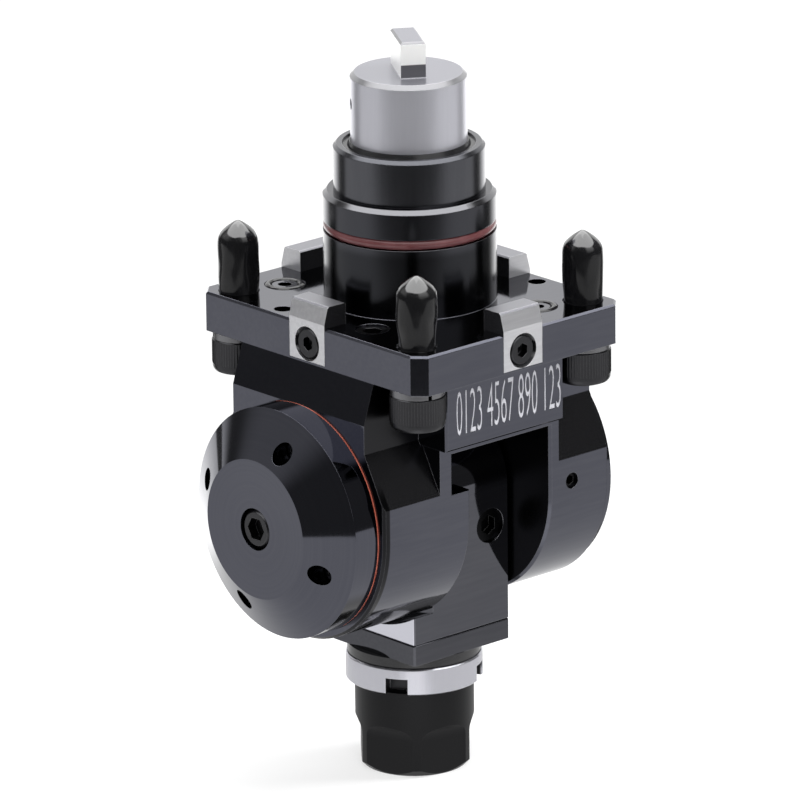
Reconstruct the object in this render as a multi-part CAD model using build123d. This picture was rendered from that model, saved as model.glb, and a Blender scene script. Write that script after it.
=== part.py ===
from build123d import *
import math
import os

os.makedirs("parts", exist_ok=True)

# Frame: z = 0 is the flange face that seats on the turret, Z is the drive axis,
# the swivel axis is parallel to Y, and the big drum cover is at the -Y end.

# Shared clearances
RUN_GAP = 0.3
RUN_FIT = 0.03
CLEAR_HOLE = 0.5

# Flange
FLANGE_X = 76.0
FLANGE_Y = 64.0
FLANGE_T = 9.4
FLANGE_CORNER = 3.0
FLANGE_EDGE = 0.5

# Pilot that locates in the turret bore
PILOT_R = 20.0
PILOT_H = 25.9
PILOT_LEAD = 1.0
PILOT_RING_Z = 17.7
PILOT_RING_R = 1.25
PILOT_RING_SINK = 0.03

# Turret keys, one in the middle of each side
KEY_W = 12.0
KEY_DEPTH = 6.6
KEY_RISE = 5.0
KEY_FLOOR = 8.9
KEY_LEAN = 1.05
KEY_LEAN_Z = 0.8
KEY_EDGE = 0.4
KEY_SCREW_Z = -4.8
KEY_SCREW_R = 2.0
KEY_SCREW_L = 5.0
KEY_SCREW_HEAD_R = 3.5
KEY_SCREW_HEAD_H = 3.4
KEY_SCREW_SINK = 0.2
KEY_BORE_R = 4.1

# Flange bolts with spring washers and rubber caps
BOLT_X = 30.5
BOLT_Y = 25.75
BOLT_R = 4.0
BOLT_HEAD_R = 6.5
BOLT_HEAD_H = 8.0
BOLT_HEX = 6.0
BOLT_TIP_Z = 14.0
WASHER_R = 6.3
WASHER_T = 1.6
WASHER_SPLIT = 0.9
WASHER_SPLIT_TURN = 25.0
WASHER_PLAY = 0.15
CAP_R = 4.7
CAP_TOP = 16.9
CAP_DOME = 3.6
CAP_TIP_R = 0.6
CAP_SHOULDER = 0.55
CAP_GAP = 0.25
CAP_SEAT = 0.6
CAP_PLAY = 0.08

# Ports and plugs in the flange face, each with a twin half a turn away
PORT_X = -26.7
PORT_Y = -15.0
PORT_R = 1.6
PORT_RING_R = 3.9
PORT_RING_WIRE = 0.9
PLUG_X = 13.4
PLUG_Y = -23.9
PLUG_R = 4.0
PLUG_H = 5.0
DOWEL_X = -12.4
DOWEL_Y = -28.2
DOWEL_R = 2.1
DOWEL_DEPTH = 6.0

# Fork below the flange
SWIVEL_Z = -45.6
DRUM_R = 29.0
PAD_X = 32.0
PAD_Y = 18.35
PAD_BOTTOM = -26.7
ROOF_Z = -28.5
POCKET_X = 22.5
POCKET_TOP = -25.6
POCKET_BOTTOM = -37.7
LEG_FRONT = -35.0
LEG_POCKET_Y = -17.7
LEG_UPPER_IN = -14.2
LEG_STEP_Z = -38.4
LEG_IN = -8.3
LEG_RIM_R = 24.3
EAR_IN = 16.6
EAR_POCKET_Y = 19.4
EAR_BACK = 35.2
END_SLOPE = 3.0
END_SLOPE_Z = -18.75
DRUM_EDGE = 0.6
HEAD_RELIEF_R = 7.0
HEAD_RELIEF_Z = -21.5

# Drive shaft and what carries it
SHAFT_R = 13.45
SHAFT_TOP = 53.6
SHAFT_EDGE = 1.0
TANG_L = 13.4
TANG_W = 5.8
TANG_TOP = 62.1
TANG_TURN = -32.0
SHAFT_PIN_TURN = -122.0
SHAFT_PIN_R = 1.3
SHAFT_PIN_Z = 46.5
RING_NUT_R = 17.5
RING_NUT_TOP = 36.9
RING_NUT_BORE = 15.4
RING_NUT_EDGE = 0.8
SEAL_H = 4.0
SEAL_SINK = 0.5
SEAL_LIP_RISE = 1.1
SEAL_LIP_ROOT = 0.7
SEAL_LIP_TIP = 0.25
DRIVE_JOURNAL_R = 10.0
DRIVE_BEARING_R = 16.0
DRIVE_BEARING_W = 7.0
DRIVE_BEARING_LOW = -3.0
DRIVE_STUB = 2.0
NUT_SPIGOT = 1.9
DRIVE_CHAMBER_R = 10.0
CHAMBER_WALL = 2.3

# Gears
UPPER_BEVEL_R = 7.5
LOWER_BEVEL_R = 9.0
BEVEL_TEETH = 24
BEVEL_FACE = 0.33
SPUR_MODULE = 1.0
PINION_TEETH = 24
WHEEL_TEETH = 32
SPUR_W = 4.0
SPUR_OUT = -22.6
SPUR_HUB = 1.9
MESH_TURN = 90.0
PRESSURE = math.radians(20.0)
BACKLASH = 0.12
TIP_GAP = 0.6
UPPER_BORE = 3.0
LOWER_BORE = 4.0

# Layshaft in the body, cross shaft on the swivel axis
LAY_R = 4.0
LAY_END_R = 3.0
LAY_BEARING_IN_R = 8.0
LAY_BEARING_OUT_R = 6.5
SMALL_BEARING_W = 5.0
LAY_BEARING_IN_Y = -14.5
CROSS_R = 6.0
CROSS_BEARING_R = 10.5
CROSS_BEARING_OUT_Y = -31.0

# Drum cover on the leg
COVER_R = 27.2
COVER_FACE_R = 16.5
COVER_FACE_Y = -48.6
COVER_CONE_Y = -41.9
COVER_LAND_R = 24.5
COVER_STEP = 0.4
COVER_SPIGOT_FIT = 0.05
COVER_BOLT_R = 20.4
COVER_BOLT_TURN = 20.0
COVER_BOLT_HOLE_R = 2.5
COVER_SCREW_R = 1.25
COVER_SCREW_GRIP = 5.0
COVER_SCREW_L = 10.0
COVER_SCREW_HEAD_R = 2.25
COVER_SCREW_HEAD_H = 2.5
COVER_SCREW_HEX = 2.0
COVER_RING_W = 1.4
COVER_RING_DEPTH = 1.2
PLUG_FACE_R = 5.0
PLUG_HEAD_R = 4.8
PLUG_HEAD_H = 4.0
PLUG_HEAD_EDGE = 0.9
PLUG_HEX = 5.0
PLUG_HEX_DEPTH = 2.4
PLUG_SINK = 0.25
PLUG_STEM_R = 3.0
PLUG_STEM_L = 6.0

# Rear cover on the ear
REAR_R = 28.0
REAR_T = 2.6
REAR_EDGE = 1.0
REAR_BOLT_R = 22.0
REAR_BOLT_COUNT = 4
REAR_SCREW_R = 1.5
REAR_SCREW_HEAD_R = 3.0
REAR_SCREW_HEAD_H = 1.7
REAR_SCREW_L = 8.0

# Swivel trunnion in the leg, pivot pin in the ear
TRUNNION_END = -18.0
BUSH_WALL = 1.8
PIVOT_R = 9.0
PIVOT_SPIGOT_R = 6.0
PIVOT_SPIGOT_L = 3.4
PIVOT_BUSH_WALL = 2.0
PIVOT_RECESS_R = 13.5
PIVOT_RECESS_DEPTH = 4.6
PIVOT_WASHER_R = 12.0
PIVOT_WASHER_T = 1.6
PIVOT_SCREW_R = 2.5
PIVOT_SCREW_L = 14.0
PIVOT_SCREW_HEAD_R = 4.25
PIVOT_SCREW_HEAD_H = 2.2
LOCK_Y = 23.5
LOCK_Z = -43.4
LOCK_R = 1.9
LOCK_SINK = 0.8

# Swivel head
HEAD_HALF_X = 15.5
HEAD_BACK = 16.0
HEAD_FRONT = -13.9
HEAD_SADDLE_R = 30.3
HEAD_DROP = 3.7
HEAD_EDGE = 0.4
PLATE_JOINT = 0.45
HEAD_CHAMBER_R = 12.4
PORT_PLUG_Y = 10.1
PORT_PLUG_Z = -54.5
PORT_PLUG_R = 4.1
PORT_PLUG_L = 3.4
PORT_PLUG_SINK = 0.7

# Spindle, its bearings and nose
SPINDLE_R = 6.0
SPINDLE_BEARING_R = 12.0
SPINDLE_BEARING_W = 6.0
SPINDLE_BEARING_TOP = -58.5
SPACER_R = 6.7
SPINDLE_NECK_R = 10.0
PLATE_T = 5.1
SEAL_BORE_R = 10.3
PLATE_SCREW_X = 12.6
PLATE_SCREW_Y = 11.0
PLATE_SCREW_R = 1.25
PLATE_SCREW_HEAD_R = 2.25
PLATE_SCREW_HEAD_H = 1.4
PLATE_SCREW_L = 7.0
NOSE_SEAL_R = 15.6
NOSE_SEAL_H = 2.2
COLLAR_R = 16.0
COLLAR_H = 6.3
COLLAR_EDGE = 0.3
COLLAR_NOTCHES = 4
COLLAR_NOTCH_W = 5.3
COLLAR_NOTCH_H = 3.9
COLLAR_NOTCH_DEPTH = 4.2
COLLAR_TURN = -57.4
NOSE_R = 11.0
NOSE_L = 20.6
TAPER = math.radians(8.0)
TAPER_MOUTH_R = 8.5
TAPER_L = 19.5
TAPER_FIT = 0.03
DRAW_BORE_R = 4.2
DRAW_BORE_L = 14.5

# Collet and its nut
COLLET_BORE_R = 5.0
COLLET_SLOTS = 8
COLLET_SLOT_W = 0.7
COLLET_SLOT_END = 7.0
COLLET_GROOVE_R = 6.9
COLLET_FRONT_R = 6.6
NUT_R = 13.9
NUT_COLLAR_H = 8.8
NUT_FLATS = 25.0
NUT_RUNOUT_R = 4.2
NUT_FACE_R = 12.2
NUT_FACE_DROP = 1.7
NUT_REACH = 9.3
NUT_TURN = -40.1
NUT_MOUTH_R = 7.3

# Heights and places worked out from the sizes above
SPUR_PITCH = SPUR_MODULE / 2.0
LAY_Z = SWIVEL_Z + SPUR_PITCH * (PINION_TEETH + WHEEL_TEETH)
SPUR_IN = SPUR_OUT + SPUR_W
SPUR_CHAMBER_OUT = SPUR_OUT - 0.4
SPUR_CHAMBER_IN = SPUR_IN + 0.4
DRIVE_BEARING_TOP = PILOT_H - NUT_SPIGOT
SEAL_TOP = RING_NUT_TOP - SEAL_SINK
HEAD_IN = LEG_IN + RUN_GAP
TRUNNION_R = HEAD_HALF_X
BUSH_SEAT_R = TRUNNION_R + RUN_FIT + BUSH_WALL
CROSS_SEAT_IN = TRUNNION_END + SMALL_BEARING_W
CROSS_GEAR_BACK = CROSS_SEAT_IN + RUN_GAP
LAY_GEAR_BACK = LAY_BEARING_IN_Y + SMALL_BEARING_W + RUN_GAP
DRIVE_GEAR_BACK = DRIVE_BEARING_LOW - RUN_GAP - DRIVE_STUB
SPINDLE_GEAR_BACK = SPINDLE_BEARING_TOP + RUN_GAP
UPPER_BEVEL_ROOM = UPPER_BEVEL_R * (1 + math.sqrt(2) / BEVEL_TEETH) + TIP_GAP
COVER_BACK = LEG_FRONT - COVER_STEP
PIVOT_BUSH_R = PIVOT_R + RUN_FIT + PIVOT_BUSH_WALL
PIVOT_RECESS_Y = EAR_BACK - PIVOT_RECESS_DEPTH
PIVOT_END = PIVOT_RECESS_Y + RUN_GAP
HEAD_BOTTOM = SWIVEL_Z - DRUM_R - HEAD_DROP
PLATE_BOTTOM = HEAD_BOTTOM - PLATE_T
HEAD_WAIST_R = SPACER_R + RUN_GAP
SEAL_BOTTOM = PLATE_BOTTOM - NOSE_SEAL_H
COLLAR_TOP = SEAL_BOTTOM - RUN_GAP
COLLAR_BOTTOM = COLLAR_TOP - COLLAR_H
NUT_TOP = COLLAR_BOTTOM - RUN_GAP
NOSE_BOTTOM = PLATE_BOTTOM - NOSE_L
NUT_BOTTOM = NOSE_BOTTOM - NUT_REACH
TAPER_TOP = NOSE_BOTTOM + TAPER_L
DRAW_BORE_TOP = TAPER_TOP + DRAW_BORE_L
TAPER_TOP_R = TAPER_MOUTH_R - TAPER_L * math.tan(TAPER)


# Shape helpers

def turned(points):
    """Solid of revolution about Z from (radius, height) corners."""
    return revolve(Plane.XZ * make_face(Polyline(*points, close=True)), Axis.Z)


def rod(radius, low, high):
    """Cylinder about Z between two heights."""
    return Pos(0, 0, low) * Cylinder(radius, high - low, align=(Align.CENTER, Align.CENTER, Align.MIN))


def tube(outer, inner, low, high):
    """Plain sleeve about Z between two heights."""
    return turned([(inner, low), (outer, low), (outer, high), (inner, high)])


def block(x0, x1, y0, y1, z0, z1):
    """Box between two corners."""
    return Pos(x0, y0, z0) * Box(x1 - x0, y1 - y0, z1 - z0, align=(Align.MIN, Align.MIN, Align.MIN))


def on_y(shape, z):
    """Lay a shape made about Z along Y at height z, with heights read as y."""
    return Plane(origin=(0, 0, z), x_dir=(1, 0, 0), z_dir=(0, 1, 0)).location * shape


def along_y(sketch, y0, y1):
    """Extrude an outline drawn in X and Z from y0 to y1."""
    plane = Plane(origin=(0, y0, 0), x_dir=(1, 0, 0), z_dir=(0, -1, 0))
    return extrude(plane * sketch, amount=-(y1 - y0))


def around(count, radius, start=0.0):
    """Locations evenly spaced on a circle about Z."""
    return [Rot(0, 0, start + 360.0 * i / count) * Pos(radius, 0, 0) for i in range(count)]


def corners(x, y):
    """The four mirrored places of a rectangular pattern."""
    return [(sx * x, sy * y) for sx in (-1, 1) for sy in (-1, 1)]


def hex_hole(flats, depth):
    """Hexagonal socket that opens at z = 0 and goes down."""
    return extrude(RegularPolygon(flats / 2.0, 6, major_radius=False), amount=-depth)


def cap_screw(radius, length, head_r, head_h, flats):
    """Socket head screw: seat at z = 0, head above, shank below."""
    edge = 0.08 * head_r
    screw = turned([(0, -length), (radius - edge, -length), (radius, -length + edge), (radius, 0),
                    (head_r, 0), (head_r, head_h - edge), (head_r - edge, head_h), (0, head_h)])
    return screw - Pos(0, 0, head_h) * hex_hole(flats, 0.6 * head_h)


def flush_screw(radius, length, head_r, head_h, flats):
    """Countersunk screw: head face at z = 0, shank below."""
    screw = turned([(0, -length), (radius, -length), (radius, -head_h), (head_r, 0), (0, 0)])
    return screw - hex_hole(flats, 0.7 * head_h)


def bearing(bore, outer, low, width):
    """Ball bearing seen as one ring with its shield set back between the races."""
    race = 0.28 * (outer - bore)
    sink = 0.08 * width
    high = low + width
    return turned([(bore, low), (bore + race, low), (bore + race, low + sink),
                   (outer - race, low + sink), (outer - race, low), (outer, low),
                   (outer, high), (outer - race, high), (outer - race, high - sink),
                   (bore + race, high - sink), (bore + race, high), (bore, high)])


# Gear helpers

def tooth_half_angle(radius, pitch_r, teeth):
    """Half the angle that an involute tooth spans at a radius."""
    at_radius = math.acos(min(1.0, pitch_r * math.cos(PRESSURE) / radius))
    pitch_inv = math.tan(PRESSURE) - PRESSURE
    radius_inv = math.tan(at_radius) - at_radius
    return math.pi / (2 * teeth) + pitch_inv - radius_inv - BACKLASH / (2 * pitch_r)


def spur_gear(teeth, bore, low, high, turn):
    """Spur gear about Z with a tooth at the angle turn."""
    pitch_r = SPUR_PITCH * teeth
    radii = (pitch_r - 1.2 * SPUR_MODULE, pitch_r, pitch_r + 0.5 * SPUR_MODULE, pitch_r + SPUR_MODULE)
    points = []
    for tooth in range(teeth):
        middle = math.radians(turn) + 2 * math.pi * tooth / teeth
        flank = [(radius, tooth_half_angle(radius, pitch_r, teeth)) for radius in radii]
        for radius, half in flank:
            points.append((radius * math.cos(middle - half), radius * math.sin(middle - half)))
        for radius, half in reversed(flank):
            points.append((radius * math.cos(middle + half), radius * math.sin(middle + half)))
    blank = extrude(make_face(Polyline(*points, close=True)), amount=high - low)
    return Pos(0, 0, low) * blank - rod(bore, low, high)


def bevel_gear(pitch_r, bore, back, turn):
    """Mitre gear about Z below its apex at the origin, with a tooth at the angle turn."""
    module = 2.0 * pitch_r / BEVEL_TEETH
    step = 1.0 / math.sqrt(2.0)
    small = 1.0 - BEVEL_FACE
    root = 1.2 * module
    root_r = pitch_r - root * step
    root_z = -pitch_r - root * step
    heel = 0.12 * pitch_r
    body = turned([(bore, small * root_z), (small * root_r, small * root_z), (root_r, root_z),
                   (root_r - heel, root_z - heel), (root_r - heel, back), (bore, back)])
    virtual_r = pitch_r * math.sqrt(2.0)
    virtual_teeth = BEVEL_TEETH * math.sqrt(2.0)
    heights = (-root - 0.1 * module, 0.0, module)
    halves = [(virtual_r + h) * tooth_half_angle(virtual_r + h, virtual_r, virtual_teeth) for h in heights]
    outline = [(h, -w) for h, w in zip(heights, halves)]
    outline += [(h, w) for h, w in reversed(list(zip(heights, halves)))]
    ends = []
    for scale in (1.0, small):
        corners_3d = [(scale * (pitch_r + h * step), scale * w, scale * (-pitch_r + h * step))
                      for h, w in outline]
        ends.append(Face(Wire(Polyline(*corners_3d, close=True))))
    tooth = Solid.make_loft([end.outer_wire() for end in ends], True)
    teeth = [Rot(0, 0, turn + 360.0 * i / BEVEL_TEETH) * tooth for i in range(BEVEL_TEETH)]
    return body.fuse(*teeth)


# Fork housing: flange, pilot, text pad, leg and ear in one piece

def fork_outline(pocketed, top):
    """Leg or ear seen along Y, with or without the bolt-head pockets."""
    corner = [(POCKET_X, top), (POCKET_X, POCKET_TOP), (DRUM_R, POCKET_BOTTOM)]
    if not pocketed:
        corner = [(DRUM_R, top)]
    right = corner + [(DRUM_R, SWIVEL_Z)]
    left = [(-x, z) for x, z in reversed(right)]
    sides = Polyline(*left, *right)
    arc = ThreePointArc(right[-1], (0, SWIVEL_Z - DRUM_R), left[0])
    return make_face([sides, arc])


def end_slope(y_face, sign):
    """Wedge that leans the end face in under the flange."""
    under = -FLANGE_T
    wedge = Polyline((sign * y_face, END_SLOPE_Z), (sign * (y_face + 1), END_SLOPE_Z),
                     (sign * (y_face + 1), under), (sign * (y_face - END_SLOPE), under), close=True)
    plane = Plane(origin=(-POCKET_X - 1, 0, 0), x_dir=(0, 1, 0), z_dir=(1, 0, 0))
    return extrude(plane * make_face(wedge), amount=2 * POCKET_X + 2)


def chamfer_rims(shape, ys, size):
    """Break the round rim edges that lie on the given end faces."""
    picked = ShapeList()
    for edge in shape.edges().filter_by(GeomType.CIRCLE):
        place = edge.center(CenterOf.BOUNDING_BOX).Y
        on_face = min(abs(place - y) for y in ys) < 0.01
        if on_face and abs(edge.radius - DRUM_R) < 0.01:
            picked.append(edge)
    return chamfer(picked, size)


def fork_housing():
    under = -FLANGE_T
    flange = block(-FLANGE_X / 2, FLANGE_X / 2, -FLANGE_Y / 2, FLANGE_Y / 2, under, 0)
    flange = chamfer(flange.edges().filter_by(Axis.Z), FLANGE_CORNER)
    flange = chamfer(flange.faces().sort_by(Axis.Z)[-1].edges(), FLANGE_EDGE)
    pilot = turned([(0, 0), (PILOT_R, 0), (PILOT_R, PILOT_H - PILOT_LEAD),
                    (PILOT_R - PILOT_LEAD, PILOT_H), (0, PILOT_H)])
    pilot -= tube(PILOT_R + 1, PILOT_R - 2 * PILOT_RING_R - PILOT_RING_SINK,
                  PILOT_RING_Z - PILOT_RING_R, PILOT_RING_Z + PILOT_RING_R)
    leg = along_y(fork_outline(True, under), LEG_FRONT, LEG_POCKET_Y)
    leg += along_y(fork_outline(False, under), LEG_POCKET_Y, LEG_UPPER_IN)
    rim = along_y(fork_outline(False, LEG_STEP_Z), LEG_UPPER_IN, LEG_IN)
    leg += rim - on_y(rod(LEG_RIM_R, LEG_UPPER_IN, LEG_IN + 1), SWIVEL_Z)
    ear = along_y(fork_outline(False, under), EAR_IN, EAR_POCKET_Y)
    ear += along_y(fork_outline(True, under), EAR_POCKET_Y, EAR_BACK)
    leg = chamfer_rims(leg, (LEG_FRONT, LEG_IN), DRUM_EDGE)
    ear = chamfer_rims(ear, (EAR_IN, EAR_BACK), DRUM_EDGE)
    leg -= end_slope(-LEG_FRONT, -1)
    ear -= end_slope(EAR_BACK, 1)
    bridge = block(-DRUM_R, DRUM_R, LEG_POCKET_Y, EAR_POCKET_Y, ROOF_Z, under)
    pad = block(-PAD_X, PAD_X, -PAD_Y, PAD_Y, PAD_BOTTOM, under)
    pad = chamfer(pad.edges().filter_by(Axis.Z), FLANGE_EDGE)
    pad = chamfer(pad.faces().sort_by(Axis.Z)[0].edges().filter_by(Axis.Y), FLANGE_EDGE)
    body = flange + pilot + bridge + pad + leg + ear
    for turn, reach in ((0, FLANGE_X / 2), (90, FLANGE_Y / 2), (180, FLANGE_X / 2), (270, FLANGE_Y / 2)):
        slot = block(reach - KEY_DEPTH, reach + 1, -KEY_W / 2, KEY_W / 2, -KEY_FLOOR, 1)
        tip = reach - KEY_SCREW_HEAD_H - KEY_SCREW_SINK - KEY_SCREW_L
        tap = Pos(tip, 0, KEY_SCREW_Z) * Rot(0, 90, 0) * rod(KEY_SCREW_R, -0.2, KEY_SCREW_L)
        body -= Rot(0, 0, turn) * (slot + tap)
    for x, y in corners(BOLT_X, BOLT_Y):
        body -= Pos(x, y, 0) * rod(BOLT_R + CLEAR_HOLE, under - 1, 1)
        body -= Pos(x, y, 0) * rod(HEAD_RELIEF_R, HEAD_RELIEF_Z, under)
        body -= Pos(x, y, 0) * rod(CAP_R + CAP_PLAY, -CAP_SEAT, 1)
    for turn in (0, 180):
        port = tube(PORT_RING_R + PORT_RING_WIRE, PORT_RING_R - PORT_RING_WIRE, -1.5 * PORT_RING_WIRE, 1)
        port += rod(PORT_R, -0.6 * FLANGE_T, 1)
        body -= Rot(0, 0, turn) * Pos(PORT_X, PORT_Y, 0) * port
        body -= Rot(0, 0, turn) * Pos(PLUG_X, PLUG_Y, 0) * rod(PLUG_R, -PLUG_H, 1)
        body -= Rot(0, 0, turn) * Pos(DOWEL_X, DOWEL_Y, 0) * rod(DOWEL_R, -DOWEL_DEPTH, 1)
    return body - drive_cavity() - leg_cavity() - ear_cavity()


def drive_cavity():
    """Bearing bore from the top and the bevel gear chamber under it."""
    cavity = rod(DRIVE_BEARING_R, DRIVE_BEARING_LOW, PILOT_H + 1)
    return cavity + rod(DRIVE_CHAMBER_R, ROOF_Z + CHAMBER_WALL, DRIVE_BEARING_LOW)


def leg_cavity():
    """Layshaft seats, spur gear chamber, cross shaft seat and trunnion bore."""
    lay_in = LAY_BEARING_IN_Y
    upper = rod(LAY_BEARING_IN_R, lay_in, lay_in + SMALL_BEARING_W + 1)
    upper += rod(LAY_R + CLEAR_HOLE, SPUR_CHAMBER_IN, lay_in)
    upper += rod(SPUR_PITCH * (PINION_TEETH + 2) + TIP_GAP, SPUR_CHAMBER_OUT, SPUR_CHAMBER_IN)
    upper += rod(LAY_BEARING_OUT_R, SPUR_CHAMBER_OUT - SMALL_BEARING_W, SPUR_CHAMBER_OUT)
    upper += rod(UPPER_BEVEL_ROOM, lay_in + SMALL_BEARING_W, (1 - BEVEL_FACE) * -UPPER_BEVEL_R + 2)
    wheel_r = SPUR_PITCH * (WHEEL_TEETH + 2) + TIP_GAP
    lower = rod(wheel_r, LEG_FRONT - 1, SPUR_CHAMBER_IN)
    lower += rod(BUSH_SEAT_R, SPUR_CHAMBER_IN, LEG_UPPER_IN)
    for place in around(4, COVER_BOLT_R, COVER_BOLT_TURN):
        depth = COVER_SCREW_L - COVER_SCREW_GRIP + 1
        lower += place * rod(COVER_SCREW_R, LEG_FRONT - 1, LEG_FRONT + depth)
    return on_y(upper, LAY_Z) + on_y(lower, SWIVEL_Z)


def ear_cavity():
    """Pivot bore, washer recess, cover screw holes and the lock screw hole."""
    cavity = rod(PIVOT_BUSH_R, EAR_IN - 1, PIVOT_RECESS_Y)
    cavity += rod(PIVOT_RECESS_R, PIVOT_RECESS_Y, EAR_BACK + 1)
    for place in around(REAR_BOLT_COUNT, REAR_BOLT_R, 45):
        cavity += place * rod(REAR_SCREW_R, EAR_BACK + REAR_T - REAR_SCREW_L - 0.5, EAR_BACK + 1)
    lock = Pos(0, LOCK_Y, LOCK_Z) * Rot(0, 90, 0) * rod(LOCK_R, PIVOT_R, DRUM_R + 1)
    return on_y(cavity, SWIVEL_Z) + lock


# Fasteners and trim on the flange

def turret_keys():
    keys = []
    for turn, reach in ((0, FLANGE_X / 2), (90, FLANGE_Y / 2), (180, FLANGE_X / 2), (270, FLANGE_Y / 2)):
        side = Polyline((reach - KEY_DEPTH, -KEY_FLOOR), (reach, -KEY_FLOOR), (reach, KEY_LEAN_Z),
                        (reach - KEY_LEAN, KEY_RISE - KEY_EDGE), (reach - KEY_LEAN - KEY_EDGE, KEY_RISE),
                        (reach - KEY_DEPTH + KEY_EDGE, KEY_RISE), (reach - KEY_DEPTH, KEY_RISE - KEY_EDGE),
                        close=True)
        key = extrude(Plane.XZ * make_face(side), amount=KEY_W / 2, both=True)
        bore = rod(KEY_BORE_R, reach - KEY_SCREW_HEAD_H - KEY_SCREW_SINK, reach + 1)
        bore += rod(KEY_SCREW_R + 0.2, reach - KEY_DEPTH - 1, reach)
        keys.append(Rot(0, 0, turn) * (key - Pos(0, 0, KEY_SCREW_Z) * Rot(0, 90, 0) * bore))
    return Compound(keys)


def key_screws():
    screws = []
    for turn, reach in ((0, FLANGE_X / 2), (90, FLANGE_Y / 2), (180, FLANGE_X / 2), (270, FLANGE_Y / 2)):
        screw = cap_screw(KEY_SCREW_R, KEY_SCREW_L, KEY_SCREW_HEAD_R, KEY_SCREW_HEAD_H, 3.0)
        seat = reach - KEY_SCREW_HEAD_H - KEY_SCREW_SINK
        place = Rot(0, 0, turn) * Pos(seat, 0, KEY_SCREW_Z) * Rot(0, 90, 0)
        screws.append(place * screw)
    return Compound(screws)


def bolt_washers():
    washers = []
    for x, y in corners(BOLT_X, BOLT_Y):
        low = -FLANGE_T - WASHER_T
        washer = tube(WASHER_R, BOLT_R + WASHER_PLAY, low, -FLANGE_T)
        gap = block(BOLT_R - 1, WASHER_R + 1, -WASHER_SPLIT / 2, WASHER_SPLIT / 2, low, -FLANGE_T)
        outward = math.degrees(math.atan2(y, x))
        washers.append(Pos(x, y, 0) * (washer - Rot(0, 0, outward + WASHER_SPLIT_TURN) * gap))
    return Compound(washers)


def flange_bolts():
    length = BOLT_TIP_Z + FLANGE_T + WASHER_T
    bolt = cap_screw(BOLT_R, length, BOLT_HEAD_R, BOLT_HEAD_H, BOLT_HEX)
    bolt = Pos(0, 0, -FLANGE_T - WASHER_T) * Rot(180, 0, 0) * bolt
    return Compound([Pos(x, y, 0) * bolt for x, y in corners(BOLT_X, BOLT_Y)])


def bolt_caps():
    """Rubber caps over the bolt ends, with pointed domes and their rims in the holes' mouths."""
    wall_top = CAP_TOP - CAP_DOME
    inside = BOLT_R + 0.02
    hollow_top = BOLT_TIP_Z + CAP_GAP
    axis = Polyline((0, hollow_top), (0, CAP_TOP), (CAP_TIP_R, CAP_TOP))
    dome = ThreePointArc((CAP_TIP_R, CAP_TOP), (0.56 * CAP_R, CAP_TOP - 0.32 * CAP_DOME), (CAP_R, wall_top))
    wall = Polyline((CAP_R, wall_top), (CAP_R, -CAP_SEAT), (inside, -CAP_SEAT),
                    (inside, BOLT_TIP_Z - CAP_SHOULDER + 0.05), (inside - CAP_SHOULDER, hollow_top),
                    (0, hollow_top))
    cap = revolve(Plane.XZ * make_face([axis, dome, wall]), Axis.Z)
    return Compound([Pos(x, y, 0) * cap for x, y in corners(BOLT_X, BOLT_Y)])


def pilot_oring():
    ring_r = PILOT_R - PILOT_RING_R - PILOT_RING_SINK
    return Pos(0, 0, PILOT_RING_Z) * Torus(ring_r, PILOT_RING_R)


def coolant_orings():
    ring = Pos(PORT_X, PORT_Y, -0.55 * PORT_RING_WIRE) * Torus(PORT_RING_R, 0.95 * PORT_RING_WIRE)
    return Compound([ring, Rot(0, 0, 180) * ring])


def flange_plugs():
    plug = rod(PLUG_R, -PLUG_H, -0.4) - Pos(0, 0, -0.4) * hex_hole(4.0, 2.5)
    plug = Pos(PLUG_X, PLUG_Y, 0) * plug
    return Compound([plug, Rot(0, 0, 180) * plug])


# Drive shaft group

def ring_nut():
    """Ring that clamps the outer races and holds the shaft seal in its mouth."""
    seat = DRIVE_BEARING_TOP
    lip = SHAFT_R + 3 * RUN_GAP
    return turned([(lip, seat), (DRIVE_BEARING_R, seat), (DRIVE_BEARING_R, PILOT_H),
                   (RING_NUT_R, PILOT_H), (RING_NUT_R, RING_NUT_TOP - RING_NUT_EDGE),
                   (RING_NUT_R - RING_NUT_EDGE, RING_NUT_TOP), (RING_NUT_BORE, RING_NUT_TOP),
                   (RING_NUT_BORE, SEAL_TOP - SEAL_H), (lip, SEAL_TOP - SEAL_H)])


def shaft_seal():
    """Seal in the ring nut's mouth, with a wiper lip that rises beside the shaft."""
    low = SEAL_TOP - SEAL_H
    lip_top = SEAL_TOP + SEAL_LIP_RISE
    inner = SHAFT_R + 0.08
    return turned([(inner, low), (RING_NUT_BORE, low), (RING_NUT_BORE, SEAL_TOP),
                   (inner + SEAL_LIP_ROOT, SEAL_TOP), (inner + SEAL_LIP_TIP, lip_top), (inner, lip_top)])


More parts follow.
